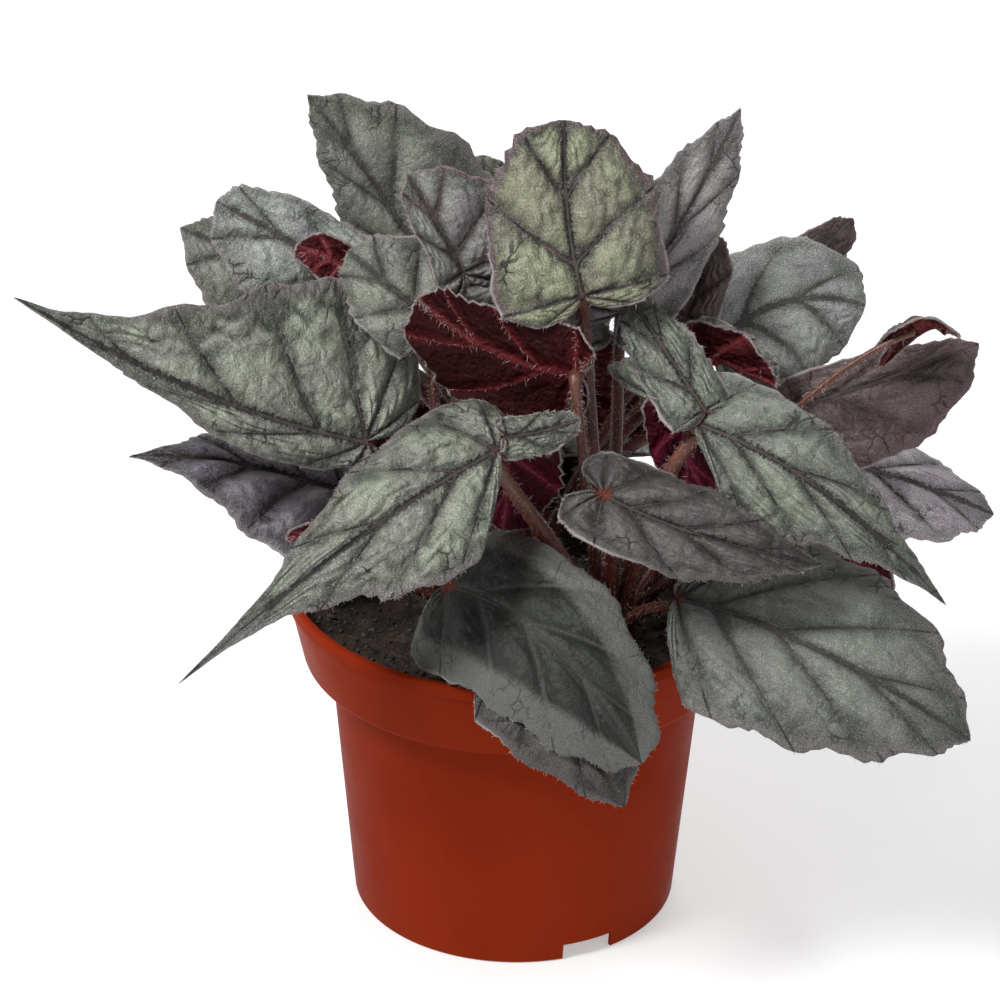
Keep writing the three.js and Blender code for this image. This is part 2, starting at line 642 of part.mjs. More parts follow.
function stalkSolid(leaf) {
  const { at, radius } = CROWNS[leaf.crown];
  const { middle, normal } = bladeFrame(leaf, 0);
  const arrival = leaf.from ? vec(leaf.from).normalize() : normal.clone().negate();
  const tilt = Math.sqrt(1 - Math.min(1, arrival.dot(normal) ** 2));
  const clearance = BLADE.thickness / 2 + GAP + STALK.clear + leaf.stalk * tilt;
  const end = middle.clone().addScaledVector(normal, -clearance);
  const outwards = new THREE.Vector3(end.x - at[0], end.y - at[1], 0).normalize();
  const start = new THREE.Vector3(...at, SOIL.top + STALK.foot);
  start.addScaledVector(outwards, STALK.start * radius);
  const path = new THREE.CubicBezierCurve3(
    start,
    start.clone().add(vec(leaf.lean)),
    end.clone().addScaledVector(arrival, leaf.arrive),
    end,
  );
  const ring = new THREE.EllipseCurve(0, 0, leaf.stalk, leaf.stalk).getPoints(STALK.sides);
  const section = new THREE.Shape(ring.slice(0, -1));
  const settings = { steps: STALK.steps, extrudePath: path };
  return toSolid(new THREE.ExtrudeGeometry(section, settings));
}

function crownSolid(name, leaves) {
  const { at, radius } = CROWNS[name];
  const bottom = SOIL.top - CROWN.sink;
  const dome = turned([
    [0, bottom],
    [radius * 0.7, bottom],
    [radius, bottom + 2],
    [radius, SOIL.top],
    [radius * 0.85, SOIL.top + CROWN.rise * 0.6],
    [radius * 0.45, SOIL.top + CROWN.rise],
    [0, SOIL.top + CROWN.rise * 1.1],
  ], CROWN.sides).translate(...at, 0);
  const stalks = leaves.filter((leaf) => leaf.crown === name).map(stalkSolid);
  return stalks.reduce((crown, stalk) => crown.add(stalk), toSolid(dome));
}

// ---------------------------------------------------------------- the plant

const plant = new THREE.Group();

function addPiece(name, geometry, colour, roughness) {
  const material = new THREE.MeshStandardMaterial({ color: colour, roughness, metalness: 0 });
  const mesh = new THREE.Mesh(geometry, material);
  mesh.name = name;
  plant.add(mesh);
}

const leaves = LEAVES.map(prepared);
addPiece("pot", toGeometry(potSolid()), COLOURS.pot, 0.4);
addPiece("potting_soil", toGeometry(soilSolid()), COLOURS.soil, 0.95);
for (const name of Object.keys(CROWNS)) {
  addPiece(`crown_${name}`, toGeometry(crownSolid(name, leaves)), COLOURS.stalks, 0.6);
}
for (const leaf of leaves) {
  addPiece(`leaf_${leaf.name}`, bladeGeometry(leaf), COLOURS.blade, 0.45);
}

export default plant;
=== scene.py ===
"""The looks of a potted rex begonia: a plastic nursery pot, potting soil, hairy red stalks and
waved silver leaf blades. Lengths are in millimetres until a mesh is made, and the frame is the
part's own: +Z up, the plant seen from -Y, the origin in the middle of the pot's foot ring."""

import math
from collections import namedtuple

import bpy
import numpy as np
from mathutils import Matrix, Vector


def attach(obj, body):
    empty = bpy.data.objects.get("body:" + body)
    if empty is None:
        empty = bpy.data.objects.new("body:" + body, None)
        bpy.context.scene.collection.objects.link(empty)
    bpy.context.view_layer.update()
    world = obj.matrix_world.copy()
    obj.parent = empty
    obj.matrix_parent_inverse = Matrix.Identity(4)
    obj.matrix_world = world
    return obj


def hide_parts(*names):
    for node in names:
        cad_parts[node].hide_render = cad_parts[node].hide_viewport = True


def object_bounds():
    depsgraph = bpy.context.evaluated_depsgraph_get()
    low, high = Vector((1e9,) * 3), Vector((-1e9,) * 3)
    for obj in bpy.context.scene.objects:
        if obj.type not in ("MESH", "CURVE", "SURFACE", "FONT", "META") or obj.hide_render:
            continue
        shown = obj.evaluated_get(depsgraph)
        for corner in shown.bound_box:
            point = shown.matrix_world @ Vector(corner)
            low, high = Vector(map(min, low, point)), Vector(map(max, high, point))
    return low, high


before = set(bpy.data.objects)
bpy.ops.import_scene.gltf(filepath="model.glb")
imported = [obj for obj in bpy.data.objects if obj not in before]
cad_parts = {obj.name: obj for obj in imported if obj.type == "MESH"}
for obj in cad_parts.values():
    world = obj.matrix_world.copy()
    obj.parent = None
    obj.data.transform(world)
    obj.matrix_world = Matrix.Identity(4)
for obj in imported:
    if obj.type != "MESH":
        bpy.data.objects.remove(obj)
cad_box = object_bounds()
MM = 0.001
SEED = 7

# -------- the part's driving dimensions

GAP = 0.3
POT_HEIGHT = 92.0
RIM_RADIUS = 60.0
COLLAR_FOOT = 70.0  # height at which the collar stands out from the body
COLLAR_FOOT_RADIUS = 55.0
BODY_TOP_RADIUS = 48.3
FOOT_RADIUS = 41.8
POT_WALL = 1.3
LIP = 2.2
LIP_DEPTH = 4.0
FLOOR_HEIGHT = 5.5
FLOOR_THICKNESS = 1.6
NOTCHES, FIRST_NOTCH, NOTCH_WIDTH, NOTCH_HEIGHT = 3, 27.5, 14.0, 4.5
DRAINS, DRAIN_RADIUS, DRAIN_RING = 6, 4.0, 26.0
SOIL_TOP = 83.0
SOIL_LUMP = 1.1

THICKNESS = 0.6  # of a blade
QUILT = 1.1  # how far a blade puffs up between two veins
FULL_RELIEF = 6.5  # where a half is narrower than this, it puffs up less
SCALLOP = 0.035
RIPPLES = 2.5
LOBE_BEND = 0.35
MANY_VEINS, FEW_VEINS, SHORT_MIDRIB = 7, 5, 51.0

CAD_THICKNESS = 0.7
STALK_FOOT = 2.0
STALK_START = 0.5
STALK_CLEAR = 0.6
CROWN_RISE, CROWN_SINK = 7.0, 12.0
CROWNS = {"left": ((-17, -4), 6.0), "right": ((24, -14), 7.0), "back": ((4, 20), 6.5)}

# Half of a flat blade, from the notch behind the stalk round the basal lobe to the tip:
# (along the midrib, across it, where the vein to that point leaves the midrib). Lengths behind the
# stalk are in lobe lengths, the others in midrib lengths, and across in half widths.
ROUND_HALF = np.array([
    (-0.45, 0.08, 0), (-0.9, 0.28, 0), (-0.95, 0.6, 0), (-0.4, 0.9, 0), (0.22, 1.0, 0),
    (0.49, 0.98, 0.12), (0.73, 0.83, 0.3), (0.9, 0.55, 0.52), (0.98, 0.25, 0.76), (1, 0, 1),
])
POINTED_HALF = ROUND_HALF.copy()
POINTED_HALF[4:9, :2] = (0.17, 1.0), (0.38, 0.86), (0.58, 0.58), (0.75, 0.31), (0.89, 0.11)

# Each leaf: its name, its crown, its midrib as (stalk end, middle, tip), and the way that its upper
# side faces, all along or at the stalk and at the tip. Then in pairs, for the left and the right
# half as seen from the stalk with the upper side up: half width and length of the basal lobe.
# "point" is 0 for a round leaf and 1 for a drawn-out one, "stalk" the stalk's radius, "lean" the
# way it leaves its crown and "wave" the height of the margin's ripples. Again in pairs: the degrees
# by which a half rises from the midrib ("fold"), curls up further out ("curl") and has its lobe bent
# down ("hang"), and its slant towards the tip ("sweep"). "arrive" is the length over which the stalk
# straightens to meet the blade, from straight below or from the side "origin".
Leaf = namedtuple(
    "Leaf",
    "name crown rib face half lobe point stalk lean wave fold curl hang sweep arrive origin look",
    defaults=(1, (0, 0, 20), 1.2, (0, 0), (-20, -20), (10, 10), (0, 0), 12, None, "silver"))
LEAVES = [
    Leaf("left_long", "left", ((-39, -8, 134), (-80, -18, 153), (-126, -16, 178)),
        ((0.1, -0.6, 0.8), (0, -0.5, 0.85)), (10, 40), (8, 18), 1.1, 1.7, (-6, -4, 20), wave=1.6,
        fold=(-20, 5), curl=(-60, 10), hang=(5, 10), sweep=(0.9, 0), arrive=14),
    Leaf("left_upper", "back", ((-51, 38, 152), (-70, 41, 161), (-88, 44, 168)),
        ((0, -0.8, 0.6), (0, -0.7, 0.7)), (22, 14), (8, 8), 0.5, 1.4, (-4, 8, 30), curl=(-20, -10),
        arrive=14, look="green"),
    Leaf("left_top", "back", ((-38, 28, 157), (-58, 31, 170), (-78, 33, 181)),
        ((0, -0.85, 0.5), (0, -0.8, 0.6)), (18, 12), (6, 6), 0, 1.5, (-4, 10, 30), curl=(-15, -15),
        arrive=14, look="pale"),
    Leaf("top_left", "back", ((-21, 34, 156), (-37, 40, 182), (-55, 42, 207)),
        ((0.1, -0.95, 0.3), (0, -0.95, 0.3)), (14, 27), (10, 12), 0.5, 1.8, (-2, 2, 35),
        curl=(-15, -10), arrive=14, look="green"),
    Leaf("top_middle", "back", ((-13, 46, 163), (-11, 51, 174), (-10, 56, 184)), (0, -0.9, 0.4),
        (10, 10), (6, 6), 0, 1.4, (0, 2, 35), wave=1, look="green"),
    Leaf("young_cupped", "left", ((-15, 0, 178), (-21, 2, 190), (-29, 5, 203)),
        ((0.1, -0.95, 0.35), (0.1, -0.95, 0.3)), (8, 20), (5, 8), 0.2, 1.2, (0, 2, 40),
        fold=(20, 0), curl=(20, 15), look="young"),
    Leaf("middle_round", "right", ((15, -14, 179), (11, -6, 199), (10, 4, 219)),
        ((0, -0.87, 0.48), (0, -0.9, 0.4)), (21, 23), (5, 5), 0, 1.8, (0, 0, 40), wave=1.4,
        fold=(5, 5), hang=(-20, -20), arrive=18, look="yellow"),
    Leaf("top_right", "right", ((25, 4, 166), (41, 10, 191), (54, 14, 218)),
        ((0, -0.95, 0.3), (0.1, -0.95, 0.3)), (15, 12), (8, 8), 0.5, 1.6, (0, 2, 40), wave=1,
        fold=(10, 0), curl=(0, -15), arrive=14, look="lilac"),
    Leaf("right_small_brown", "back", ((42, 17, 158), (46, 20, 170), (48, 21, 180)),
        ((-0.3, -0.95, 0.3), (0, -0.95, 0.3)), (7, 8), (4, 4), 0.2, 1.2, (4, -2, 32), fold=(20, 0),
        curl=(30, -20), arrive=10, look="brown"),
    Leaf("right_upper", "back", ((50, 20, 149), (68, 24, 159), (88, 26, 157)),
        ((-0.1, -0.75, 0.65), (0.2, -0.7, 0.7)), (18, 24), (8, 6), 0, 1.6, (4, -2, 32),
        fold=(0, -10), curl=(-10, -20), look="pale"),
    Leaf("right_back_brown", "back", ((64, 34, 156), (75, 38, 165), (85, 42, 174)),
        (0.1, -0.95, 0.3), (7, 8), (4, 4), 0.2, 1.2, (6, 4, 32), curl=(0, -20), arrive=10,
        look="brown"),
    Leaf("right_arched", "right", ((98, 0, 165), (104, -4, 168), (110, -8, 166)),
        ((-0.1, 0.75, 0.6), (0.3, 0.75, 0.6)), (7, 7), (16, 12), 0.5, 0.9, (12, 6, 26), wave=0.6,
        fold=(0, -10), curl=(0, -20), hang=(20, 20), arrive=26, origin=(-0.9, 0, -0.35),
        look="brown"),
    Leaf("right_brown", "right", ((70, 6, 138), (94, 8, 146), (116, 8, 156)), (0, -0.8, 0.6),
        (8, 20), (6, 8), 0.3, 1.5, (8, 4, 24), wave=1.4, curl=(20, -20), look="brown"),
    Leaf("right_mauve", "right", ((70, 12, 122), (96, 12, 115), (123, 18, 101)),
        ((0.2, -0.5, 0.85), (0.3, -0.5, 0.85)), (18, 18), (10, 8), 0.2, 1.5, (8, 4, 20), wave=1.4,
        fold=(-10, -10), curl=(-10, -20), look="mauve"),
    Leaf("right_folded", "right", ((43, 4, 153), (54, 0, 152), (65, -5, 150)),
        ((0, -0.1, 1), (0.2, -0.1, 1)), (13, 11), (4, 5), 0.3, 1.4, (5, 2, 26), wave=1,
        fold=(25, 85), curl=(-10, 20), hang=(10, 0)),
    Leaf("right_big", "right", ((44, -28, 151), (74, -44, 142), (106, -56, 116)),
        ((-0.1, -0.65, 0.75), (0.3, -0.6, 0.75)), (17, 17), (29, 3), 0.9, 2, (0, -4, 20), wave=1.6,
        fold=(5, -20), hang=(0, 0), sweep=(0, 1.2), arrive=16, origin=(-0.7, -0.4, -0.6),
        look="moss"),
    Leaf("front_left_big", "right", ((-6, -36, 147), (-41, -62, 135), (-83, -78, 104)),
        ((-0.1, -0.6, 0.75), (-0.3, -0.6, 0.75)), (21, 20), (3, 13), 1.25, 2.1, (-5, -4, 18),
        wave=1.6, fold=(-5, 10), curl=(-20, -30), hang=(0, 20), sweep=(1.15, 0), arrive=16,
        origin=(0.5, -0.12, -0.85)),
    Leaf("front_right", "right", ((40, -34, 104), (72, -54, 103), (113, -64, 82)),
        ((0.2, -0.6, 0.8), (0.3, -0.7, 0.7)), (30, 27), (10, 3), 0.25, 1.7, (4, -4, 6), wave=1.4,
        curl=(-15, -20), sweep=(0.5, 0.7), origin=(-0.9, 0.35, -0.1), look="grey"),
    Leaf("front_hanging", "left", ((-17, -34, 107), (7, -62, 108), (31, -77, 82)),
        ((-0.1, -0.7, 0.7), (0.1, -0.85, 0.5)), (20, 22), (10, 10), 0, 1.7, (0, -6, 10), arrive=8,
        look="shade"),
    Leaf("front_under", "left", ((-3, -57, 98), (11, -71, 92), (27, -78, 70)),
        ((-0.1, -0.7, 0.7), (0.1, -0.85, 0.5)), (19, 16), (3, 3), 0.3, 1.5, (0, -8, 3), arrive=5,
        origin=(0, 0.9, -0.3), look="dusk"),
    Leaf("right_narrow", "right", ((21, -38, 136), (45, -51, 132), (75, -54, 126)),
        ((0, -0.5, 0.85), (0, -0.6, 0.8)), (14, 14), (12, 9), 0.5, 1.5, (0, -3, 22), wave=1.4,
        fold=(5, 5), curl=(-10, -10), arrive=10, look="dusk"),
    Leaf("right_low", "right", ((66, -6, 113), (82, -12, 107), (96, -16, 98)), (0.1, 0.8, 0.2),
        (12, 12), (6, 6), 0.4, 1.3, (6, 0, 14), wave=1, curl=(-10, -10), arrive=10, look="brown"),
    Leaf("left_dark", "left", ((-46, 6, 112), (-74, 2, 122), (-99, -4, 127)), (0, -0.5, 0.85),
        (22, 17), (10, 10), 1.1, 1.5, (-6, 2, 16), curl=(-10, -10), look="dark"),
    Leaf("left_young", "left", ((-48, -15, 107), (-53, -18, 112), (-59, -19, 112)), (0.2, 0.8, 0.2),
        (5, 5), (3, 3), 0.3, 0.9, (-8, -2, 10), wave=0.5, fold=(10, 10), curl=(0, 0), hang=(0, 0),
        arrive=5, look="brown"),
    Leaf("middle_red", "right", ((14, -19, 160), (-7, -13, 163), (-26, -5, 174)), (0.2, 0.85, 0.1),
        (13, 21), (5, 5), 0, 1.4, (-2, 0, 26), wave=1.8, curl=(10, 10), hang=(0, 0),
        sweep=(0, 0.3), arrive=16, origin=(0.1, -0.25, -0.97), look="brown"),
    Leaf("middle_back", "back", ((14, 6, 154), (2, 6, 161), (-8, 6, 168)), (0, -0.9, 0.4), (12, 12),
        (8, 7), 0.2, 1.3, (0, -2, 30), wave=1, curl=(-10, -10), hang=(0, 0), arrive=10,
        look="grey"),
    Leaf("left_curled", "left", ((-23, 6, 162), (-33, 10, 169), (-44, 14, 177)),
        ((0.2, -0.9, 0.35), (0.1, -0.9, 0.35)), (13, 15), (3, 4), 0.1, 1.4, (-2, 0, 34),
        curl=(-10, -10), arrive=10, look="green"),
    Leaf("left_red_small", "back", ((-46, 22, 168), (-52, 24, 171), (-58, 26, 169)), (0, 0.8, -0.3),
        (6, 6), (4, 4), 0.3, 1, (-4, 18, 36), wave=0.6, curl=(0, 0), hang=(0, 0), arrive=5,
        origin=(0.5, 0.15, -0.85), look="brown"),
    Leaf("back_left", "back", ((-27, 47, 113), (-47, 61, 130), (-67, 75, 128)),
        ((-0.2, 0.75, 0.6), (-0.4, 0.6, 0.7)), (17, 25), (12, 10), 0.5, 1.7, (-4, 4, 26),
        wave=1.4),
    Leaf("back_middle", "back", ((11, 41, 118), (9, 55, 138), (4, 79, 140)),
        ((0, 0.85, 0.5), (0, 0.6, 0.8)), (17, 20), (9, 9), 0.3, 1.8, (0, 6, 28), wave=1.4),
    Leaf("back_right", "back", ((36, 42, 115), (54, 57, 134), (74, 74, 132)),
        ((0.2, 0.75, 0.6), (0.4, 0.6, 0.7)), (25, 14), (6, 8), 0.6, 1.7, (4, 4, 26), wave=1.4),
    Leaf("back_low", "back", ((17, 36, 94), (19, 52, 106), (22, 73, 106)),
        ((0, 0.75, 0.65), (0, 0.5, 0.85)), (17, 22), (5, 5), 0.4, 1.6, (2, 6, 12), arrive=10),
]

# Basal lobes that turn under their blade or stand up from it, described like a leaf.
TURNED_LOBES = [
    Leaf("front_left_big", None, ((-5, -30, 149), (-3, -27, 133), (-4, -26, 119)), (0, 0.9, 0.4),
        (10, 14), (1.5, 1.5), 0, wave=1.4, curl=(15, 15), hang=(0, 0)),
    Leaf("front_left_big", None, ((-4, -33, 149.5), (5, -29, 149), (15, -27, 151.5)),
        ((0.1, -0.8, 0.6), (0, -0.85, 0.5)), (5, 6), (1.5, 1.5), 0, wave=0.8, curl=(-10, -10),
        hang=(0, 0)),
    Leaf("right_big", None, ((42, -24, 153), (42, -21, 139), (49, -19, 124)), (0.1, 0.9, 0.4),
        (11, 9), (1.5, 1.5), 0.4, curl=(15, 15), hang=(0, 0)),
    Leaf("right_big", None, ((46, -27, 154), (37, -17, 164), (28, -5, 173)),
        ((0.1, -0.8, 0.6), (0, -0.9, 0.4)), (10, 8), (1.5, 1.5), 0, curl=(-10, -10), hang=(0, 0)),
]

PLANT_RANDOM = np.random.default_rng(SEED)


# -------- camera, floor and light

def unit(vectors):
    lengths = np.linalg.norm(vectors, axis=-1, keepdims=True)
    return vectors / np.maximum(lengths, 1e-9)


def add_object(name, data):
    made = bpy.data.objects.new(name, data)
    bpy.context.scene.collection.objects.link(made)
    return made


def make_camera():
    distance, down, roll = 1.6, math.radians(28.9), math.radians(0.7)
    data = bpy.data.cameras.new("camera")
    data.sensor_width = 36
    data.lens = 225.5
    data.clip_start, data.clip_end = 0.1, 20
    camera = add_object("camera", data)
    turn = Matrix.Rotation(math.pi / 2 - down, 4, "X") @ Matrix.Rotation(roll, 4, "Z")
    target = Matrix.Translation((-0.0048, 0, 0.1134))
    camera.matrix_world = target @ turn @ Matrix.Translation((0, 0, distance))
    bpy.context.scene.camera = camera


def add_area(name, place, size, power):
    data = bpy.data.lights.new(name, "AREA")
    data.shape = "DISK"
    data.size = size
    data.energy = power
    light = add_object(name, data)
    light.location = place
    aim = Vector((0, 0, 0.12)) - Vector(place)
    light.rotation_euler = aim.to_track_quat("-Z", "Y").to_euler()


def make_studio():
    scene = bpy.context.scene
    scene.view_settings.view_transform = "Standard"
    scene.view_settings.look = "None"
    scene.world = bpy.data.worlds.new("studio")
    scene.world.use_nodes = True
    sky = scene.world.node_tree.nodes["Background"]
    sky.inputs["Color"].default_value = (0.96, 0.98, 1, 1)
    sky.inputs["Strength"].default_value = 0.38
    add_area("key", (-1.0, -0.75, 1.7), 0.7, 41)
    add_area("fill", (1.3, -1.1, 0.9), 1.4, 5)
    add_area("back", (0.3, 1.4, 1.3), 1.2, 14)
    bpy.ops.mesh.primitive_plane_add(size=30, location=(0, 0, -0.0002))
    floor = bpy.context.object
    floor.name = "floor"
    # a little light of its own keeps the floor's shadow soft and pale
    floor.data.materials.append(Material("studio_floor").shaded(
        (0.6, 0.6, 0.6), 0.7, Emission_Color=(1, 1, 1), Emission_Strength=0.4))


# -------- materials

def operation(kind):
    return lambda value, other=0.0: value.material.maths(kind, value, other)


class Value:
    """The output of a node, which can be reckoned with by + - * / and abs."""

    def __init__(self, material, socket):
        self.material, self.socket = material, socket

    __add__, __sub__, __mul__, __truediv__, __abs__ = map(
        operation, ("ADD", "SUBTRACT", "MULTIPLY", "DIVIDE", "ABSOLUTE"))


class Material:
    """A material with a Principled shader, and short names for the nodes that feed it."""

    def __init__(self, name):
        self.material = bpy.data.materials.new(name)
        self.material.use_nodes = True
        self.nodes = self.material.node_tree.nodes

    def feed(self, socket, value):
        if isinstance(value, Value):
            self.material.node_tree.links.new(value.socket, socket)
        elif isinstance(value, tuple) and socket.type == "RGBA":
            socket.default_value = (*value, 1)
        else:
            socket.default_value = value

    def node(self, kind, output, inputs=(), **settings):
        """One output of a new node, with its inputs as pairs of a name or number and a value."""
        made = self.nodes.new(kind)
        for key, value in settings.items():
            setattr(made, key, value)
        for key, value in inputs:
            self.feed(made.inputs[key], value)
        return Value(self, made.outputs[output])

    def shaded(self, base, rough, **others):
        """The finished material. Other inputs of the shader are named with _ for a space."""
        for key, value in {"Base_Color": base, "Roughness": rough, **others}.items():
            self.feed(self.nodes["Principled BSDF"].inputs[key.replace("_", " ")], value)
        return self.material

    def attribute(self, name, output="Fac"):
        return self.node("ShaderNodeAttribute", output, attribute_name=name)

    def position(self):
        return self.node("ShaderNodeTexCoord", "Object")

    def noise(self, scale, detail=3.0, roughness=0.55, vector=None, distortion=0.0, output="Fac"):
        return self.node("ShaderNodeTexNoise", output, (
            ("Scale", scale), ("Detail", detail), ("Roughness", roughness),
            ("Distortion", distortion), ("Vector", vector or self.position())))

    def cells(self, scale, feature="F1", vector=None):
        return self.node("ShaderNodeTexVoronoi", "Distance",
                         (("Scale", scale), ("Vector", vector or self.position())), feature=feature)

    def maths(self, kind, a, b=0.0):
        return self.node("ShaderNodeMath", 0, ((0, a), (1, b)), operation=kind)

    def larger(self, a, b):
        return self.maths("MAXIMUM", a, b)

    def span(self, value, low, high, to_low=0.0, to_high=1.0):
        """The value's smooth way from low to high, as one from to_low to to_high."""
        return self.node("ShaderNodeMapRange", 0, (
            ("Value", value), ("From Min", low), ("From Max", high), ("To Min", to_low),
            ("To Max", to_high)), interpolation_type="SMOOTHSTEP")

    def layered(self, colour, *layers):
        """The colour under others: each layer is its share, its colour and how it blends."""
        for share, tint, *blend in layers:
            colour = self.node("ShaderNodeMix", 2, ((0, share), (6, colour), (7, tint)),
                               data_type="RGBA", blend_type=blend[0] if blend else "MIX")
        return colour

    def warped(self, vector, scale, amount):
        """The vector pushed about by noise, so that cells drawn with it have uneven edges."""
        shift = self.noise(scale, 3.0, 0.6, vector, output="Color")
        return self.node("ShaderNodeVectorMath", 0, (
            (0, shift), (1, (amount, amount, 0)), (2, vector)), operation="MULTIPLY_ADD")

    def bumps(self, *layers):
        """The normal, bent by layers of height, depth and strength, one on the other."""
        below = ()
        for height, depth, strength in layers:
            normal = self.node("ShaderNodeBump", "Normal", (
                ("Height", height), ("Distance", depth), ("Strength", strength), *below))
            below = (("Normal", normal),)
        return normal


def tinted(colour, factor, lift=0.0):
    return tuple(factor * c + lift for c in colour)


# The upper side of each kind of leaf: colours of shadowed tissue, silver and margin, how black
# the borders of its veins are, where its margin's colour begins, how strongly it is crumpled, its
# gloss, the height of its pleats, and how red the spot above its stalk is.
Look = namedtuple("Look", "deep silver margin black edge rumple gloss relief spot",
                  defaults=(0.6, 0.93, 0.3, 0.5, 1.0, 0.1))
LOOKS = {
    "silver": Look((0.02, 0.026, 0.016), (0.235, 0.25, 0.195), (0.125, 0.106, 0.103), black=0.95,
        rumple=0.85),
    "moss": Look((0.018, 0.026, 0.017), (0.17, 0.19, 0.145), (0.13, 0.115, 0.11), black=0.95,
        rumple=0.5),
    "pale": Look((0.07, 0.08, 0.065), (0.29, 0.31, 0.275), (0.19, 0.175, 0.17), rumple=0.35),
    "green": Look((0.05, 0.056, 0.042), (0.2, 0.21, 0.17), (0.15, 0.135, 0.125), black=0.5,
        rumple=0.25),
    "young": Look((0.055, 0.059, 0.05), (0.215, 0.22, 0.195), (0.09, 0.03, 0.04), edge=0.97,
        rumple=0.4),
    "grey": Look((0.034, 0.04, 0.031), (0.16, 0.168, 0.145), (0.13, 0.115, 0.112), gloss=0.4,
        spot=0.9),
    # painted shade: a darkened copy for the leaves that lie under others
    "dusk": Look((0.01, 0.009, 0.008), (0.084, 0.078, 0.071), (0.07, 0.061, 0.059), black=0.95,
        edge=0.9, gloss=0.35, spot=0.8),
    # painted shade: a darkened copy for the leaf hanging under the front left blade, darkest over
    # the middle of the blade, with a paler margin from about two thirds of the way out
    "shade": Look((0.008, 0.01, 0.008), (0.027, 0.03, 0.0245), (0.115, 0.116, 0.106), black=0.15,
        edge=0.66, rumple=0.2, gloss=0.2, spot=0.9),
    "yellow": Look((0.014, 0.012, 0.008), (0.215, 0.225, 0.142), (0.09, 0.05, 0.06), black=1.0,
        rumple=0.85, relief=1.2),
    "mauve": Look((0.1, 0.088, 0.092), (0.43, 0.395, 0.405), (0.25, 0.215, 0.225), black=0.8,
        rumple=0.4),
    "lilac": Look((0.055, 0.052, 0.049), (0.25, 0.24, 0.228), (0.17, 0.145, 0.145), rumple=0.25),
    "brown": Look((0.03, 0.014, 0.013), (0.095, 0.068, 0.063), (0.09, 0.055, 0.055), rumple=0.5,
        gloss=0.35),
    "dark": Look((0.008, 0.007, 0.009), (0.2, 0.185, 0.2), (0.17, 0.15, 0.16), black=0.9, gloss=0.4,
        relief=2.4),
}
BURGUNDY = ("middle_red", "back_left", "back_middle", "back_right", "back_low")
VEIN_TAN = (0.105, 0.080, 0.064)
RIM_PALE = (0.33, 0.29, 0.285)
SPOT_RED = (0.15, 0.028, 0.008)
CRACK_BLACK = (0.005, 0.004, 0.0045)
SPARKLE, DULL = (1.5, 1.5, 1.5), (0.5, 0.5, 0.5)


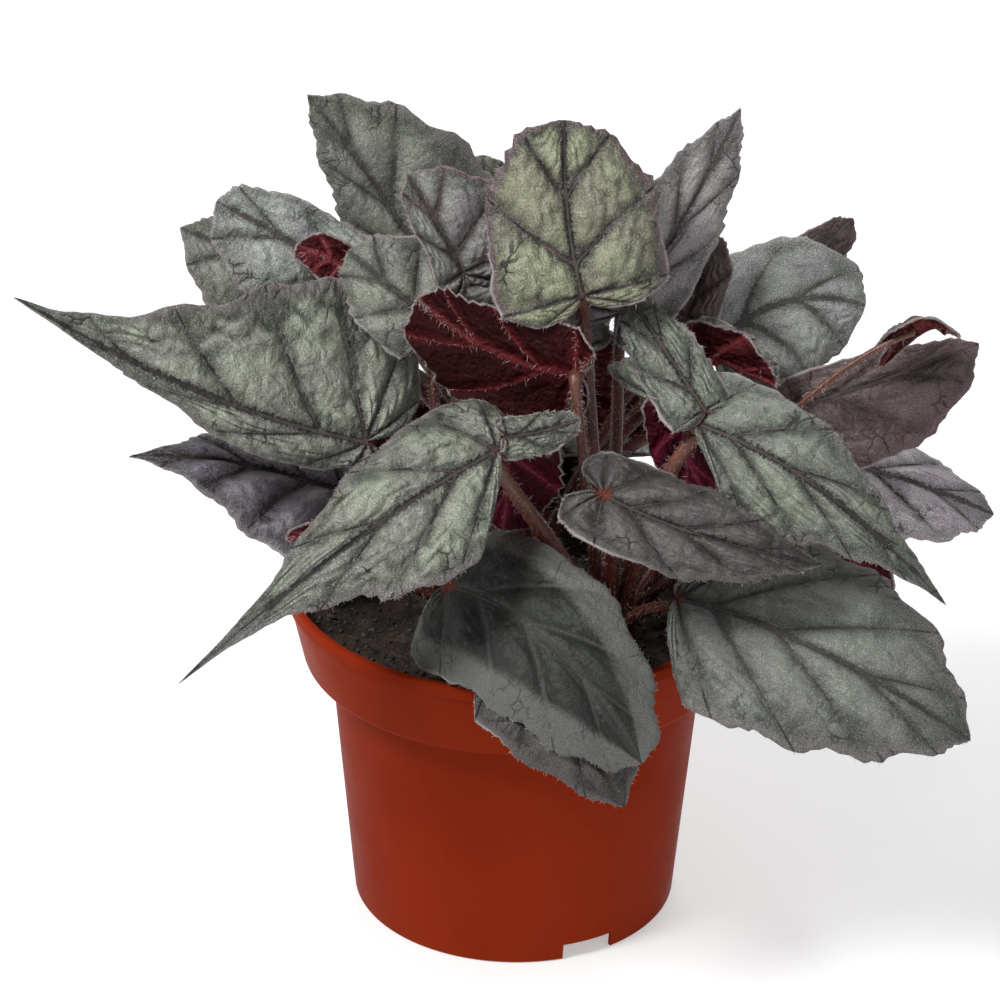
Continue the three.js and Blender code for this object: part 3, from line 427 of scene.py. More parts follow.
def upper_material(name, look):
    """The upper side: speckled silver with painted glints, tan veins in cracked borders, dusky
    margin.
    """
    m = Material(name)
    flat = m.attribute("flat", "Vector")
    vein, reach, height, brink = map(m.attribute, ("vein", "reach", "height", "brink"))
    along, across = (m.node("ShaderNodeSeparateXYZ", axis, ((0, flat),)) for axis in "XY")
    from_stalk = abs(along) + abs(across)
    cloud = m.noise(0.15, 4, 0.65, flat)
    ragged = m.noise(0.95, 4, 0.75, flat)
    fine = m.noise(2.6, 3, 0.75, flat)
    # silver tissue, duller in patches, dusky along the veins, shadowed low down
    dusky = tuple(a * b for a, b in zip(look.silver, (0.72, 0.66, 0.76)))
    patches = m.span(m.noise(0.055, 3, 0.6, flat), 0.40, 0.60, 0.0, 0.9)
    beside = m.span(vein / m.span(reach, 0.1, 0.8, 1.8, 0.8) + ragged, 1.9, 0.6)
    margin = m.span(reach + ragged * 0.16, look.edge, look.edge + 0.14)
    # black borders of the veins: jagged, in stretches, widest near the stalk
    jag = (ragged - 0.5) * 4.6
    border = m.span(vein / m.span(reach, 0.0, 0.8, 1.1, 0.36) + jag, 1.0, 0.7)
    stretch = m.span(m.noise(0.13, 2, 0.5, flat), 0.42, 0.50)
    stretch = m.span(reach, 0.86, 0.62) * m.larger(stretch, m.span(reach, 0.32, 0.08))
    border = border * (stretch * look.black)
    # cracks: along the veins' ends at the margin, and here and there in the finer net
    net = m.cells(0.2, "DISTANCE_TO_EDGE", m.warped(flat, 0.45, 2.6))
    crack = m.span(net, 0.05, 0.015) * m.span(m.noise(0.1, 2, 0.5, flat), 0.55, 0.66)
    crack = crack * m.span(reach, 0.35, 0.85, 0.1, 0.9)
    seam = m.span(vein + jag * 0.28, 0.5, 0.2) * m.span(reach, 0.74, 0.88)
    broken = m.span(ragged, 0.4, 0.52) * m.span(m.noise(0.14, 2, 0.5, flat), 0.46, 0.54)
    crack = m.larger(crack, seam * broken)
    # the vein itself, the spot above the stalk and the pale rim, which is widest near the stalk
    thread = m.span(vein, m.span(reach, 0, 0.8, 0.46, 0.16), m.span(reach, 0, 0.8, 0.24, 0.05))
    thread = thread * (m.span(reach, 0.7, 0.3) * m.span(from_stalk, 60, 15, 0.25, 1.0))
    spot = m.span(from_stalk + ragged * 6.0, 7.0, 4.0)
    inner = m.span(along, 32, 6)
    rim = m.span(brink + ragged * 0.8,
                 m.span(inner, 0, 1, 0.7, 1.35), m.span(inner, 0, 1, 0.3, 0.7))
    colour = m.layered(
        look.deep,
        (m.span(height * 0.55 + cloud, 0.40, 0.98), m.layered(look.silver, (patches, dusky))),
        (beside * m.span(from_stalk, 55, 95, 0.75, 0.2), tinted(look.margin, 0.55)),
        (margin * 0.85, look.margin),
        # fine specks: the lighter silver and SPARKLE specks are partly the tissue's own speckle and
        # partly painted glints; the DULL specks darken it at random
        (m.span(fine, 0.52, 0.7, 0.0, 0.45), tinted(look.silver, 1.6, 0.015)),
        (m.span(fine, 0.48, 0.66), SPARKLE, "MULTIPLY"),
        (m.span(fine, 0.50, 0.34), DULL, "MULTIPLY"),
        (border, CRACK_BLACK),
        (crack * look.black, CRACK_BLACK),
        (thread * (0.6 * look.black), VEIN_TAN),
        (spot * look.spot, SPOT_RED),
        (rim * m.span(inner, 0, 1, 0.25, 0.7), RIM_PALE))
    pebble = m.cells(0.8, vector=m.warped(flat, 0.8, 0.6)) * 0.6 + fine * 0.6
    folds = m.noise(0.14, 3, 0.5, flat, 0.6) * 3.0 + m.maths("MINIMUM", net, 0.4) * 1.6
    normal = m.bumps((height, 0.0009 * look.relief, 0.9), (pebble, 0.00025, 0.9),
                     (folds, 0.0011, 0.3 + 0.6 * look.rumple),
                     (thread - crack * 1.5, 0.00035, 0.9))
    rough = m.larger(m.span(fine, 0.3, 0.7, 0.30, 0.5), m.larger(border, crack) * 0.9)
    return m.shaded(colour, rough, Normal=normal, Specular_IOR_Level=look.gloss, Sheen_Weight=0.05,
                    Sheen_Roughness=0.5)


def under_material(name, deep, light):
    """The underside: wine red tissue with a paler net of raised veins."""
    m = Material(name)
    flat = m.attribute("flat", "Vector")
    vein, reach, brink = map(m.attribute, ("vein", "reach", "brink"))
    cloud = m.noise(0.12, 4, 0.6, flat)
    grain = m.noise(1.6, 4, 0.65, flat)
    net = m.cells(0.33, "DISTANCE_TO_EDGE", m.warped(flat, 0.5, 1.5))
    rib = m.span(vein, m.span(reach, 0, 1, 1.1, 0.35), m.span(reach, 0, 1, 0.3, 0.05))
    colour = m.layered(
        deep,
        (m.span(cloud, 0.3, 0.7), light),
        (m.span(vein + cloud, 1.2, 3.6, 0.0, 0.8), tinted(deep, 0.6)),
        (m.span(grain, 0.45, 0.8, 0, 0.4), tinted(deep, 0.45)),
        (m.span(net, 0.05, 0.0, 0, 0.15), tinted(light, 1.5, 0.01)),
        (rib * 0.55, tinted(light, 1.6, 0.015)),
        (m.span(brink + grain * 0.9, 1.15, 0.7) * 0.75, RIM_PALE))
    normal = m.bumps((grain, 0.0003, 0.7), (net * -1.5, 0.0005, 0.7),
                     (m.span(vein, 0.0, 4.0), 0.0022, 0.8),
                     (m.noise(0.35, 3, 0.5, flat, 0.8), 0.0022, 0.8))
    return m.shaded(colour, 0.5, Normal=normal, Specular_IOR_Level=0.1)


def margin_material(name, colour):
    m = Material(name)
    noise = m.noise(900, 3)
    base = m.layered(tinted(colour, 0.55), (m.span(noise, 0.35, 0.65), colour))
    return m.shaded(base, 0.6, Normal=m.bumps((noise, 0.0002, 0.5)))


def hair_material():
    m = Material("hairs")
    share = m.span(m.noise(300, 2), 0.4, 0.6)
    return m.shaded(m.layered((0.40, 0.27, 0.24), (share, (0.68, 0.60, 0.56))), 0.35,
                    Specular_IOR_Level=0.6)


def stalk_material():
    m = Material("stalks")
    # painted shade: the crowns and stalks are dark low down under the leaves and turn lighter and
    # browner from halfway up towards the blade
    colour = m.layered(
        (0.045, 0.010, 0.008),
        (m.span(m.noise(60, 4, 0.6), 0.35, 0.65), (0.11, 0.026, 0.018)),
        (m.span(m.attribute("reach"), 0.45, 1.0, 0.0, 0.7), (0.13, 0.048, 0.026)),
        (m.span(m.cells(900), 0.30, 0.12, 0, 0.55), (0.34, 0.17, 0.12)),
        (m.span(m.noise(700, 3, 0.6), 0.5, 0.8, 0, 0.5), (0.05, 0.012, 0.01)))
    return m.shaded(colour, 0.4, Normal=m.bumps((m.noise(380, 4, 0.6), 0.0004, 0.7)),
                    Specular_IOR_Level=0.5)


def pot_material():
    """Brick red plastic: moulded skin, faint rings and scuffs."""
    m = Material("pot_plastic")
    stretched = m.node("ShaderNodeMapping", 0,
                       (("Vector", m.position()), ("Scale", (60, 60, 900))))
    colour = m.layered(
        (0.178, 0.016, 0.0037),
        (m.span(m.noise(14, 4, 0.55), 0.3, 0.7), (0.228, 0.022, 0.0056)),
        (m.span(m.noise(1.0, 4, 0.7, stretched, 1.5), 0.62, 0.78, 0, 0.25), (0.26, 0.034, 0.008)))
    normal = m.bumps((m.noise(900, 2, 0.5), 0.00006, 0.5),
                     (m.noise(1.0, 3, 0.6, stretched), 0.00012, 0.35))
    return m.shaded(colour, m.span(m.noise(45, 3), 0.3, 0.7, 0.34, 0.48), Normal=normal,
                    Specular_IOR_Level=0.05, IOR=1.2)


def soil_material():
    m = Material("potting_soil")
    fibre = m.noise(900, 3, 0.7)
    colour = m.layered(
        (0.008, 0.006, 0.005),
        (m.span(m.noise(120, 5, 0.7), 0.35, 0.7), (0.04, 0.028, 0.02)),
        (m.span(fibre, 0.62, 0.72, 0, 0.7), (0.12, 0.085, 0.055)))
    normal = m.bumps((m.cells(420), 0.0012, 0.9), (fibre, 0.0005, 0.7))
    return m.shaded(colour, 0.9, Normal=normal, Specular_IOR_Level=0.25)


def crumb_material():
    m = Material("soil_crumbs")
    colour = m.layered(
        (0.012, 0.008, 0.006),
        (m.span(m.noise(150, 2), 0.35, 0.65), (0.055, 0.034, 0.022)),
        (m.span(m.noise(350, 3), 0.6, 0.7, 0, 0.5), (0.14, 0.09, 0.055)))
    return m.shaded(colour, 0.85, Normal=m.bumps((m.noise(900, 3), 0.0005, 0.8)))


# -------- meshes

class Shape:
    """Points in millimetres and faces with a material number, gathered into one mesh."""

    def __init__(self):
        self.points, self.faces, self.slots, self.marks = [], [], [], []
        self.count = 0

    def add(self, points, faces, slot=0, marks=((0,) * 7,)):
        """Marks are vein, reach, height, brink and the three of flat, for each point."""
        points = np.asarray(points, float).reshape(-1, 3)
        self.points.append(points)
        self.faces.extend([tuple(int(i) + self.count for i in face) for face in faces])
        self.slots.extend(np.broadcast_to(slot, len(faces)).tolist())
        self.marks.append(np.broadcast_to(np.array(marks, float), (len(points), 7)))
        self.count += len(points)

    def build(self, name, materials, node=None):
        mesh = bpy.data.meshes.new(name)
        points = np.clip(np.concatenate(self.points) * MM, *cad_box)
        mesh.from_pydata(points.tolist(), [], self.faces)
        for material in materials:
            mesh.materials.append(material)
        mesh.polygons.foreach_set("material_index", self.slots)
        mesh.polygons.foreach_set("use_smooth", [True] * len(self.faces))
        marks = np.concatenate(self.marks).T
        for key, rows in zip(("vein", "reach", "height", "brink", "flat"), (*marks[:4], marks[4:])):
            if rows.any():
                kind, field = ("FLOAT_VECTOR", "vector") if key == "flat" else ("FLOAT", "value")
                layer = mesh.attributes.new(key, kind, "POINT")
                layer.data.foreach_set(field, rows.T.ravel())
        mesh.update()
        made = add_object(name, mesh)
        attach(made, "root")
        if node:
            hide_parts(node)
        return made


def circle(sides):
    angles = np.arange(sides) * 2 * math.pi / sides
    return np.stack([np.cos(angles), np.sin(angles)], 1)


def bands(count, sides, closed=False):
    """The faces between rings of points, and between the last and the first if closed."""
    return [(i * sides + k, i * sides + n, j * sides + n, j * sides + k)
            for i, j in ((i, (i + 1) % count) for i in range(count if closed else count - 1))
            for k, n in ((k, (k + 1) % sides) for k in range(sides))]


def level(outline, height):
    return np.c_[outline, np.broadcast_to(height, len(outline))]


def lathe(profile):
    """Points and faces of a closed profile, turned round the Z axis."""
    ring = circle(ROUND_SIDES)
    points = np.concatenate([level(ring * radius, height) for radius, height in profile])
    return points, [face[::-1] for face in bands(len(profile), ROUND_SIDES, closed=True)]


def prism(outline, bottom, top):
    count = len(outline)
    caps = [(0, *range(count - 1, 0, -1)), tuple(range(count, 2 * count))]
    return np.concatenate([level(outline, bottom), level(outline, top)]), caps + bands(2, count)


def rounded(corners, steps=4):
    """A closed profile with its corners rounded: each corner is (radius, height, rounding)."""
    made = []
    count = len(corners)
    for i, (x, z, round_by) in enumerate(corners):
        here = np.array([x, z], float)
        if round_by == 0:
            made.append(here)
            continue
        before, after = (np.array(corners[k % count][:2], float) - here for k in (i - 1, i + 1))
        a, b = (here + way / np.linalg.norm(way) * round_by for way in (before, after))
        for t in np.linspace(0, 1, steps + 1):
            made.append((1 - t) ** 2 * a + 2 * t * (1 - t) * here + t * t * b)
    return made


# -------- pot and soil

ROUND_SIDES = 160  # of the pot and the soil
ROD_SIDES = 32
SHARP_DEGREES = 32
UNIT_SQUARE = np.array([(-0.5, -0.5), (0.5, -0.5), (0.5, 0.5), (-0.5, 0.5)])


def body_radius(height):
    return FOOT_RADIUS + (BODY_TOP_RADIUS - FOOT_RADIUS) * height / COLLAR_FOOT


def collar_radius(height):
    share = (height - COLLAR_FOOT) / (POT_HEIGHT - COLLAR_FOOT)
    return COLLAR_FOOT_RADIUS + (RIM_RADIUS - COLLAR_FOOT_RADIUS) * share


def make_pot(material):
    wall, floor = POT_WALL, FLOOR_HEIGHT
    inner = floor + FLOOR_THICKNESS
    top, under_lip = POT_HEIGHT, POT_HEIGHT - LIP_DEPTH
    profile = rounded([
        (0.4, floor, 0), (body_radius(floor) - wall, floor, 0.8), (body_radius(0) - wall, 0, 0.3),
        (body_radius(0), 0, 0.4), (BODY_TOP_RADIUS, COLLAR_FOOT, 1.6),
        (COLLAR_FOOT_RADIUS, COLLAR_FOOT, 1.8), (RIM_RADIUS - 0.9, under_lip, 0.3),
        (RIM_RADIUS, under_lip + 0.4, 0.3), (RIM_RADIUS, top, 0.9), (RIM_RADIUS - LIP, top, 0.9),
        (RIM_RADIUS - LIP, under_lip, 0.5),
        (collar_radius(under_lip) - wall - 0.2, under_lip - 0.4, 0.3),
        (collar_radius(COLLAR_FOOT + wall) - wall, COLLAR_FOOT + wall, 1.0),
        (BODY_TOP_RADIUS - wall, COLLAR_FOOT + wall, 0.6), (body_radius(inner) - wall, inner, 1.2),
        (0.4, inner, 0),
    ])
    shape = Shape()
    shape.add(*lathe(profile))
    pot = shape.build("nursery_pot", [material], "pot")
    cuts = []
    for i in range(NOTCHES):
        turn = math.radians(FIRST_NOTCH + i * 360 / NOTCHES)
        c, s = math.cos(turn), math.sin(turn)
        outline = UNIT_SQUARE * (NOTCH_WIDTH, FOOT_RADIUS) - (0, FOOT_RADIUS)
        cuts.append(prism(outline @ np.array([(c, s), (-s, c)]), -NOTCH_HEIGHT, NOTCH_HEIGHT))
    for i in range(DRAINS):
        angle = (i + 0.5) * 2 * math.pi / DRAINS
        place = (DRAIN_RING * math.cos(angle), DRAIN_RING * math.sin(angle))
        cuts.append(prism(circle(ROD_SIDES) * DRAIN_RADIUS + place, floor - 1, inner + 1))
    bpy.context.view_layer.objects.active = pot
    for cut in cuts:
        shape = Shape()
        shape.add(*cut)
        tool = shape.build("cutter", [])
        modifier = pot.modifiers.new("cut", "BOOLEAN")
        modifier.operation = "DIFFERENCE"
        modifier.object = tool
        modifier.solver = "EXACT"
        bpy.ops.object.modifier_apply(modifier=modifier.name)
        bpy.data.objects.remove(tool)
    pot.data.polygons.foreach_set("use_smooth", [True] * len(pot.data.polygons))
    pot.data.set_sharp_from_angle(angle=math.radians(SHARP_DEGREES))


def soil_lumps(x, y):
    coarse = np.sin(x * 0.16 + 1.3) * np.cos(y * 0.19 - 0.4)
    fine = np.sin(x * 0.47 - y * 0.31) * np.cos(y * 0.53 + x * 0.12)
    return SOIL_LUMP * (0.6 * coarse + 0.4 * fine)


def make_soil(materials):
    clear = POT_WALL + GAP
    inner = FLOOR_HEIGHT + FLOOR_THICKNESS
    ledge = COLLAR_FOOT + clear
    edge = collar_radius(SOIL_TOP) - clear
    rings = 56
    profile = [(0.2, inner + GAP), (body_radius(inner) - clear, inner + GAP),
               (BODY_TOP_RADIUS - clear, ledge), (collar_radius(ledge) - clear - GAP, ledge)]
    profile += [(max(edge * ring / rings, 0.2), SOIL_TOP) for ring in range(rings, -1, -1)]
    points, faces = lathe(profile)
    top = points[:, 2] > SOIL_TOP - GAP
    x, y = points[top, 0], points[top, 1]
    rough = 0.35 * np.sin(1.1 * x + 2 * np.sin(0.7 * y)) * np.sin(1.3 * y + 1.5 * np.sin(0.9 * x))
    rough += 0.25 * np.sin(2.3 * x - 1.1 * y) * np.sin(2.1 * y + 0.8 * x + 1)
    points[top, 2] = SOIL_TOP + soil_lumps(x, y) + rough
    shape = Shape()
    shape.add(points, faces)
    add_crumbs(shape, edge)
    shape.build("potting_soil_heap", materials, "potting_soil")


CRUMBS, LARGEST_CRUMB = 2600, 3.2


def add_crumbs(shape, edge):
    """Lumps with eight corners, squeezed and turned at random, half sunk in the soil."""
    lump, sides_of = prism(UNIT_SQUARE, -0.5, 0.5)
    made = 0
    while made < CRUMBS:
        x, y = PLANT_RANDOM.uniform(-edge, edge, 2)
        size = PLANT_RANDOM.gamma(2.2, 0.42)
        if math.hypot(x, y) > edge - size or size > LARGEST_CRUMB:
            continue
        squeeze = PLANT_RANDOM.uniform(0.5, 1.3, 3) * size * 0.62
        a = unit(PLANT_RANDOM.normal(size=3))
        b = unit(np.cross(a, PLANT_RANDOM.normal(size=3)))
        bits = lump * PLANT_RANDOM.uniform(0.6, 1.15, (8, 1)) * squeeze
        bits = bits @ np.stack([a, b, np.cross(a, b)])
        place = (x, y, SOIL_TOP + float(soil_lumps(x, y)) + 0.15 * size)
        shape.add(bits + place, sides_of, 1)
        made += 1


# -------- leaf blades

GOLDEN_SHARE = 0.382
ROWS_PER_VEIN, TEETH_PER_VEIN = 16, 4
SHORT_COLUMNS, LONG_COLUMNS = 22, 28


class Blade:
    """The middle surface of a leaf blade, as the solids have it, at any fineness."""

    def __init__(self, leaf, index):
        self.leaf, self.index = leaf, index
        start, middle, tip = (np.array(point, float) for point in leaf.rib)
        self.start, self.tip = start, tip
        self.pull = 2 * middle - (start + tip) / 2
        self.face = np.broadcast_to(np.array(leaf.face, float), (2, 3))
        steps = self.middle_at(np.linspace(0, 1, 201))
        self.length = float(np.linalg.norm(np.diff(steps, axis=0), axis=1).sum())
        self.veins = FEW_VEINS if self.length < SHORT_MIDRIB else MANY_VEINS
        self.half = ROUND_HALF + (POINTED_HALF - ROUND_HALF) * leaf.point
        self.ripple_phase = index * GOLDEN_SHARE % 1

    def middle_at(self, share):
        t = np.asarray(share)[..., None]
        return (1 - t) ** 2 * self.start + 2 * t * (1 - t) * self.pull + t**2 * self.tip

    def frame_at(self, share):
        share = np.clip(share, 0, 1)
        wide = share[..., None]
        tangent = unit((1 - wide) * (self.pull - self.start) + wide * (self.tip - self.pull))
        normal = self.face[0] * (1 - wide) + self.face[1] * wide
        normal = unit(normal - tangent * (normal * tangent).sum(-1, keepdims=True))
        return self.middle_at(share), tangent, normal

    def sheet_point(self, side, along, across):
        leaf = self.leaf
        middle, tangent, normal = self.frame_at(along / self.length)
        outwards = np.cross(tangent, normal) * (1 if side else -1)
        rise = math.radians(leaf.fold[side])
        curl = math.radians(leaf.curl[side]) / leaf.half[side] + 1e-9
        end = (rise + curl * across)[..., None]
        point = middle + outwards * (np.sin(end) - math.sin(rise)) / curl
        point = point + normal * (math.cos(rise) - np.cos(end)) / curl
        return point, normal * np.cos(end) - outwards * np.sin(end)

    def point(self, side, along, across, lift):
        """A point of the blade. What lies behind the stalk is bent down as a lobe."""
        leaf = self.leaf
        point, normal = self.sheet_point(side, np.maximum(along, 0), across)
        _, tangent, _ = self.frame_at(np.zeros(1))
        bend = LOBE_BEND * leaf.lobe[side]
        behind = np.maximum(-along, 0)
        bent = np.minimum(behind, bend)
        straight = behind - bent
        turn = math.radians(leaf.hang[side]) * bent / bend + 1e-9
        reach = bent * np.sin(turn) / turn + straight * np.cos(turn)
        drop = bent * (1 - np.cos(turn)) / turn + straight * np.sin(turn)
        point = point - tangent * (reach + lift * np.sin(turn))[..., None]
        return point + normal * (lift * np.cos(turn) - drop)[..., None]

    def outline_at(self, share):
        """The half outline's spline, as three numbers for each share."""
        half = self.half
        points = np.concatenate([2 * half[:1] - half[1:2], half, 2 * half[-1:] - half[-2:-1]])
        last = len(half) - 1
        place = np.clip(share * last, 0, last - 1e-9)
        i = place.astype(int)
        t = (place - i)[..., None]
        before, a, b, after = (points[i + k] for k in range(4))
        ease = t * t * (3 - 2 * t)
        leave, arrive = t * (1 - t) ** 2 * (b - before), t * t * (1 - t) * (after - a)
        return a + ease * (b - a) + 0.5 * (leave - arrive)

    def grid(self, side, rows, columns):
        """Points of one half, rows from the notch to the tip and columns from midrib to margin."""
        leaf = self.leaf
        half, lobe = leaf.half[side], leaf.lobe[side]
        relief = LOOKS[leaf.look].relief
        share = np.linspace(0, 1, rows + 1)[:, None]
        reach = (np.linspace(0, 1, columns + 1) ** 0.9)[None, :]
        share, reach = np.broadcast_arrays(share, reach)
        along, across, foot = np.moveaxis(self.outline_at(share), -1, 0)
        foot = np.where(foot < 0.01, 0, foot)
        turn = 2 * math.pi * self.veins * share
        teeth = self.teeth(side, share) * reach**9 / max(half, 12)
        out = reach * (1 + SCALLOP * reach**2 * np.cos(turn)) + teeth
        valley = np.abs(np.sin(turn / 2))
        puff = QUILT * relief * valley * np.sin(math.pi * reach**0.8)
        puff = puff + self.rumple(side, share, reach) * valley
        width = across * half + np.maximum(-along, 0) * lobe
        puff = puff * np.clip(width / FULL_RELIEF, 0, 1) ** 2
        phase = 2 * math.pi * (RIPPLES * share + self.ripple_phase + side / 2)
        ripple = leaf.wave * reach**2 * np.sin(phase) * np.sin(math.pi * share)
        v = across * out * half
        ahead = along * np.where(along < 0, lobe, self.length)
        swept = leaf.sweep[side] * v * (1 - np.maximum(along, 0))
        u = foot * self.length * (1 - out) + ahead * out + swept
        points = self.point(side, u, v, puff + ripple)
        radius = np.hypot(ahead - foot * self.length, across * half)
        return points, share, reach, u, v, puff / relief, (1 - reach) * radius

    def teeth(self, side, share):
        """How far the margin's teeth stand out, in millimetres."""
        place = share * self.veins * TEETH_PER_VEIN
        saw = 1 - np.abs(2 * (place % 1) - 1)
        size = 0.55 + 0.45 * np.sin(7.3 * np.floor(place) + 3 * side + self.index)
        leaf = self.leaf
        large = leaf.look == "yellow" or leaf.crown is None or leaf.name in BURGUNDY
        return (saw - 0.5) * size * (1.5 if large else 0.75)

    def rumple(self, side, share, reach):
        """Cross folds between two main veins, in millimetres."""
        seed = 1.7 * self.index + 2.1 * side
        veins = self.veins * share
        swing = 0.25 * np.sin(2 * math.pi * veins * 2 + seed)
        folds = np.sin(2 * math.pi * (5.4 * reach + swing + 0.37 * np.floor(veins)) + seed)
        depth = 0.34 + 0.24 * np.sin(5.1 * share + 9.3 * reach + 2 * seed)
        return (depth * LOOKS[self.leaf.look].rumple * folds
                * np.clip(4 * reach * (1.05 - reach), 0, 1))


def welded(grids):
    """One mesh from both halves' grids, with the points on the midrib shared."""
    points, faces, marks = [], [], []
    keys = {}

    def number(point, mark):
        key = tuple(round(x, 3) for x in point)
        if key not in keys:
            keys[key] = len(points)
            points.append(point)
            marks.append(mark)
        return keys[key]

    for side, (grid, mark) in enumerate(grids):
        rows, wide = grid.shape[:2]
        index = [number(tuple(p), tuple(q)) for p, q in zip(
            grid.reshape(-1, 3).tolist(), mark.reshape(-1, mark.shape[-1]).tolist())]
        for row in range(rows - 1):
            for column in range(wide - 1):
                a = row * wide + column
                corners = [index[k] for k in (a, a + 1, a + 1 + wide, a + wide)]
                face = list(dict.fromkeys(corners if side else reversed(corners)))
                if len(face) > 2:
                    faces.append(tuple(face))
    return np.array(points), faces, np.array(marks)


def vertex_normals(points, faces):
    normals = np.zeros_like(points)
    quads = np.array([face if len(face) == 4 else (*face, face[2]) for face in faces])
    a, b, c, d = (points[quads[:, k]] for k in range(4))
    across = np.cross(c - a, d - b)
    for k in range(4):
        np.add.at(normals, quads[:, k], across)
    return unit(normals)


def boundary(faces):
    edges = {(a, b) for face in faces for a, b in zip(face, face[1:] + face[:1])}
    return [(a, b) for a, b in edges if (b, a) not in edges]


UPPER, UNDER, MARGIN, HAIR = range(4)
TURNED_TOP = 147.0  # the lobe under the front left blade stays below the one that stands up


def add_blade(shape, leaf, index):
    blade = Blade(leaf, index)
    rows = blade.veins * ROWS_PER_VEIN
    columns = SHORT_COLUMNS if blade.length < SHORT_MIDRIB else LONG_COLUMNS
    grids = []
    for side in (0, 1):
        points, share, reach, u, v, puff, brink = blade.grid(side, rows, columns)
        near = np.round(np.round(share[:, 0] * blade.veins) / blade.veins * rows).astype(int)
        vein = np.linalg.norm(points - points[near], axis=-1)
        vein[:ROWS_PER_VEIN // 2] += 0.4
        vein = np.minimum(vein, np.abs(v))
        flat = (u, v * (1 if side else -1), np.full_like(u, 40.0 * index))
        grids.append((points, np.stack([vein, reach, puff, brink, *flat], -1)))
    points, faces, marks = welded(grids)
    if leaf == TURNED_LOBES[0]:
        points[:, 2] = np.minimum(points[:, 2], TURNED_TOP)
    normals = vertex_normals(points, faces)
    vein, reach = marks[:, 0], marks[:, 1]
    thin = THICKNESS / 2 * np.where(reach > 0.97, 0.55, 1.0)
    rib = 0.5 * np.exp(-((vein / 0.7) ** 2)) * np.clip(1.1 - reach, 0, 1)
    upper = points + normals * (thin - 0.12 * np.exp(-((vein / 0.5) ** 2)))[:, None]
    under = points - normals * (thin + rib)[:, None]
    count, edges = len(points), boundary(faces)
    turned = [tuple(i + count for i in face[::-1]) for face in faces]
    rim = [(b, a, a + count, b + count) for a, b in edges]
    slots = np.repeat((UPPER, UNDER, MARGIN), (len(faces), len(faces), len(rim)))
    shape.add(np.concatenate([upper, under]), faces + turned + rim, slots,
              np.concatenate([marks, marks]))
    add_margin_hairs(shape, points, normals, edges, reach)
    add_under_hairs(shape, under, normals, vein, leaf)
    return blade


HAIR_BEND = 0.55  # the share of a hair's length at which it bends
MARGIN_HAIR_RADIUS, HAIR_RADIUS = 0.045, 0.05
MARGIN_HAIRS_PER_MM, STALK_HAIRS_PER_MM = 1.1, 4.2


def add_hair(shape, root, way, length, radius, slot):
    """A closed three-sided hair that tapers to a point and bends on the way."""
    side = unit(np.cross(way, (0.3, 0.5, 0.8)))
    other = np.cross(way, side)
    droop = np.array([0, 0, -0.18 * length])
    ring = [radius * (math.cos(a) * side + math.sin(a) * other) for a in (0, 2.094, 4.189)]
    middle = root + way * length * HAIR_BEND
    points = [root + r for r in ring] + [middle + 0.7 * r for r in ring]
    faces = [(2, 1, 0)]
    for k in range(3):
        n = (k + 1) % 3
        faces += [(k, n, 3 + n, 3 + k), (3 + k, 3 + n, 6)]
    shape.add(points + [root + way * length + droop], faces, slot)


def add_margin_hairs(shape, points, normals, edges, reach):
    for a, b in edges:
        if reach[a] < 0.9:
            continue
        step = points[b] - points[a]
        count = PLANT_RANDOM.poisson(np.linalg.norm(step) * MARGIN_HAIRS_PER_MM)
        outwards = unit(np.cross(step, normals[a]))
        for _ in range(count):
            root = points[a] + step * PLANT_RANDOM.random()
            way = unit(outwards + 0.75 * PLANT_RANDOM.normal(size=3))
            length = PLANT_RANDOM.uniform(0.4, 1.3)
            add_hair(shape, root - 0.1 * way, way, length, MARGIN_HAIR_RADIUS, HAIR)


def add_under_hairs(shape, under, normals, vein, leaf):
    """Long pale hairs on the undersides' ribs, dense on the leaf that shows its underside."""
    dense = 0.75 if leaf.name == "middle_red" else 0.06
    for i in np.nonzero(vein < 0.45)[0]:
        if PLANT_RANDOM.random() > dense:
            continue
        way = unit(-normals[i] + 0.8 * PLANT_RANDOM.normal(size=3))
        add_hair(shape, under[i], way, PLANT_RANDOM.uniform(0.7, 2.2), HAIR_RADIUS, HAIR)


# -------- crowns and stalks

STALK_STEPS, STALK_SIDES = 26, 14
REACH_ONLY = (0, 1, 0, 0, 0, 0, 0)
CROWN_STEPS, CROWN_SIDES = 22, 24


def stalk_path(leaf, blade):
    at, radius = CROWNS[leaf.crown]
    middle, _, normal = (values[0] for values in blade.frame_at(np.zeros(1)))
    arrival = unit(np.array(leaf.origin, float)) if leaf.origin else -normal
    tilt = math.sqrt(1 - min(1, float(arrival @ normal) ** 2))
    end = middle - normal * (CAD_THICKNESS / 2 + GAP + STALK_CLEAR + leaf.stalk * tilt)
    outwards = unit(np.array([end[0] - at[0], end[1] - at[1], 0]))
    start = np.array([*at, SOIL_TOP + STALK_FOOT]) + outwards * STALK_START * radius
    first = start + np.array(leaf.lean)
    last = end + arrival * leaf.arrive
    t = np.linspace(0, 1, STALK_STEPS + 1)[:, None]
    path = (1 - t) ** 3 * start + 3 * t * (1 - t) ** 2 * first
    path = path + 3 * t**2 * (1 - t) * last + t**3 * end
    return np.concatenate([path, [middle - normal * 0.2]])


def tube(path, radii, sides):
    """A closed tube along a path, with the same number of corners in every ring."""
    ways = unit(np.gradient(path, axis=0))
    side = unit(np.cross(ways[0], (0.2, 1, 0.1)))
    rings = []
    for point, way, radius in zip(path, ways, radii):
        side = unit(side - way * (side @ way))
        rings.append(point + radius * (circle(sides) @ np.stack([side, np.cross(way, side)])))
    count = len(path)
    caps = [tuple(reversed(range(sides))), tuple(range((count - 1) * sides, count * sides))]
    return np.concatenate(rings), caps + bands(count, sides)


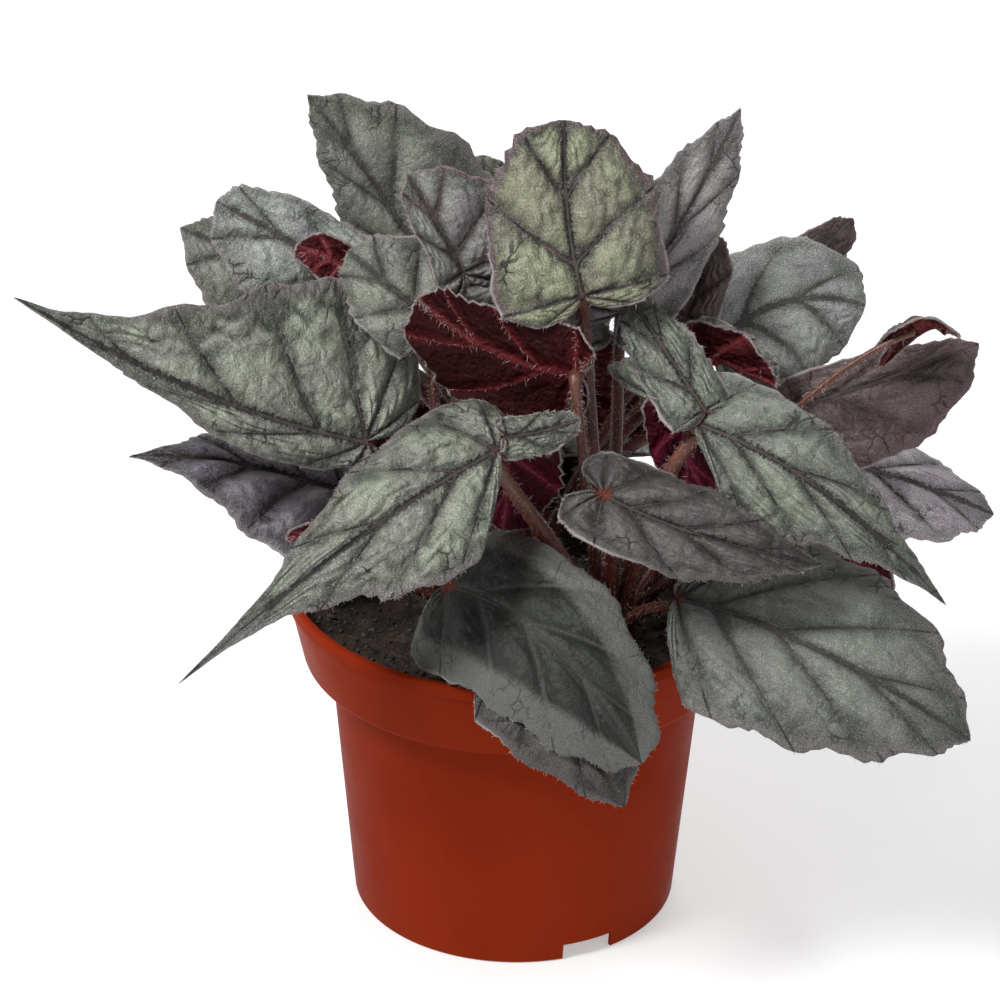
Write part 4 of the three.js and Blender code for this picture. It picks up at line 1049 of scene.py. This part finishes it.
def add_stalk(shape, leaf, blade):
    path = stalk_path(leaf, blade)
    share = np.append(np.linspace(0, 1, STALK_STEPS + 1), 1.0)
    radii = leaf.stalk * (1.12 - 0.24 * share + 0.3 * np.clip((share - 0.93) / 0.07, 0, 1))
    radii[0] *= 1.2
    radii[-1] *= 1.15
    points, faces = tube(path, radii, STALK_SIDES)
    shape.add(points, faces, marks=np.outer(np.repeat(share, STALK_SIDES), REACH_ONLY))
    total = np.linalg.norm(np.diff(path, axis=0), axis=1).sum()
    for _ in range(int(total * STALK_HAIRS_PER_MM)):
        place = PLANT_RANDOM.uniform(0.06, 0.97) * STALK_STEPS
        i = int(place)
        root = path[i] + (path[i + 1] - path[i]) * (place - i)
        along = unit(path[i + 1] - path[i])
        out = PLANT_RANDOM.normal(size=3)
        out = unit(out - along * (out @ along))
        way = unit(out + 0.5 * PLANT_RANDOM.normal(size=3) - np.array([0, 0, 0.3]))
        length = PLANT_RANDOM.uniform(0.8, 2.4)
        add_hair(shape, root + out * leaf.stalk * 0.85, way, length, HAIR_RADIUS, 1)


def make_crown(name, blades, materials):
    at, radius = CROWNS[name]
    shape = Shape()
    heights = (-CROWN_SINK, -CROWN_SINK + 2, 0, 0.6 * CROWN_RISE, CROWN_RISE, 1.1 * CROWN_RISE)
    widths = np.array([0.7, 1, 1, 0.85, 0.45, 0.05]) * radius
    fine = np.linspace(0, len(heights) - 1, CROWN_STEPS)
    height, width = (np.interp(fine, range(6), values) for values in (heights, widths))
    path = level([at] * CROWN_STEPS, SOIL_TOP + height)
    knobs = np.minimum(1 + 0.06 * np.sin(fine * 5), 1)
    points, faces = tube(path, width * knobs, CROWN_SIDES)
    shape.add(points, faces)
    for leaf, blade in blades:
        if leaf.crown == name:
            add_stalk(shape, leaf, blade)
    shape.build(f"stalks_{name}", materials, f"crown_{name}")


# -------- the plant

def make_plant():
    make_pot(pot_material())
    make_soil([soil_material(), crumb_material()])
    uppers = {name: upper_material(f"leaf_upper_{name}", look) for name, look in LOOKS.items()}
    wine = under_material("leaf_under_wine", (0.05, 0.006, 0.008), (0.105, 0.012, 0.016))
    burgundy = under_material("leaf_under_burgundy", (0.026, 0.0018, 0.0025),
                              (0.072, 0.004, 0.006))
    magenta = under_material("leaf_under_magenta", (0.05, 0.004, 0.01), (0.13, 0.01, 0.03))
    margin = margin_material("leaf_margin", (0.2, 0.15, 0.15))
    hair = hair_material()
    blades = []
    for index, leaf in enumerate(LEAVES):
        shape = Shape()
        blades.append((leaf, add_blade(shape, leaf, index)))
        own_lobes = [lobe for lobe in TURNED_LOBES if lobe.name == leaf.name]
        for i, lobe in enumerate(own_lobes):
            add_blade(shape, lobe, i)
        under = magenta if own_lobes else burgundy if leaf.name in BURGUNDY else wine
        shape.build(f"blade_{leaf.name}", [uppers[leaf.look], under, margin, hair],
                    f"leaf_{leaf.name}")
    stalk = stalk_material()
    for name in CROWNS:
        make_crown(name, blades, [stalk, hair])


make_camera()
make_studio()
make_plant()
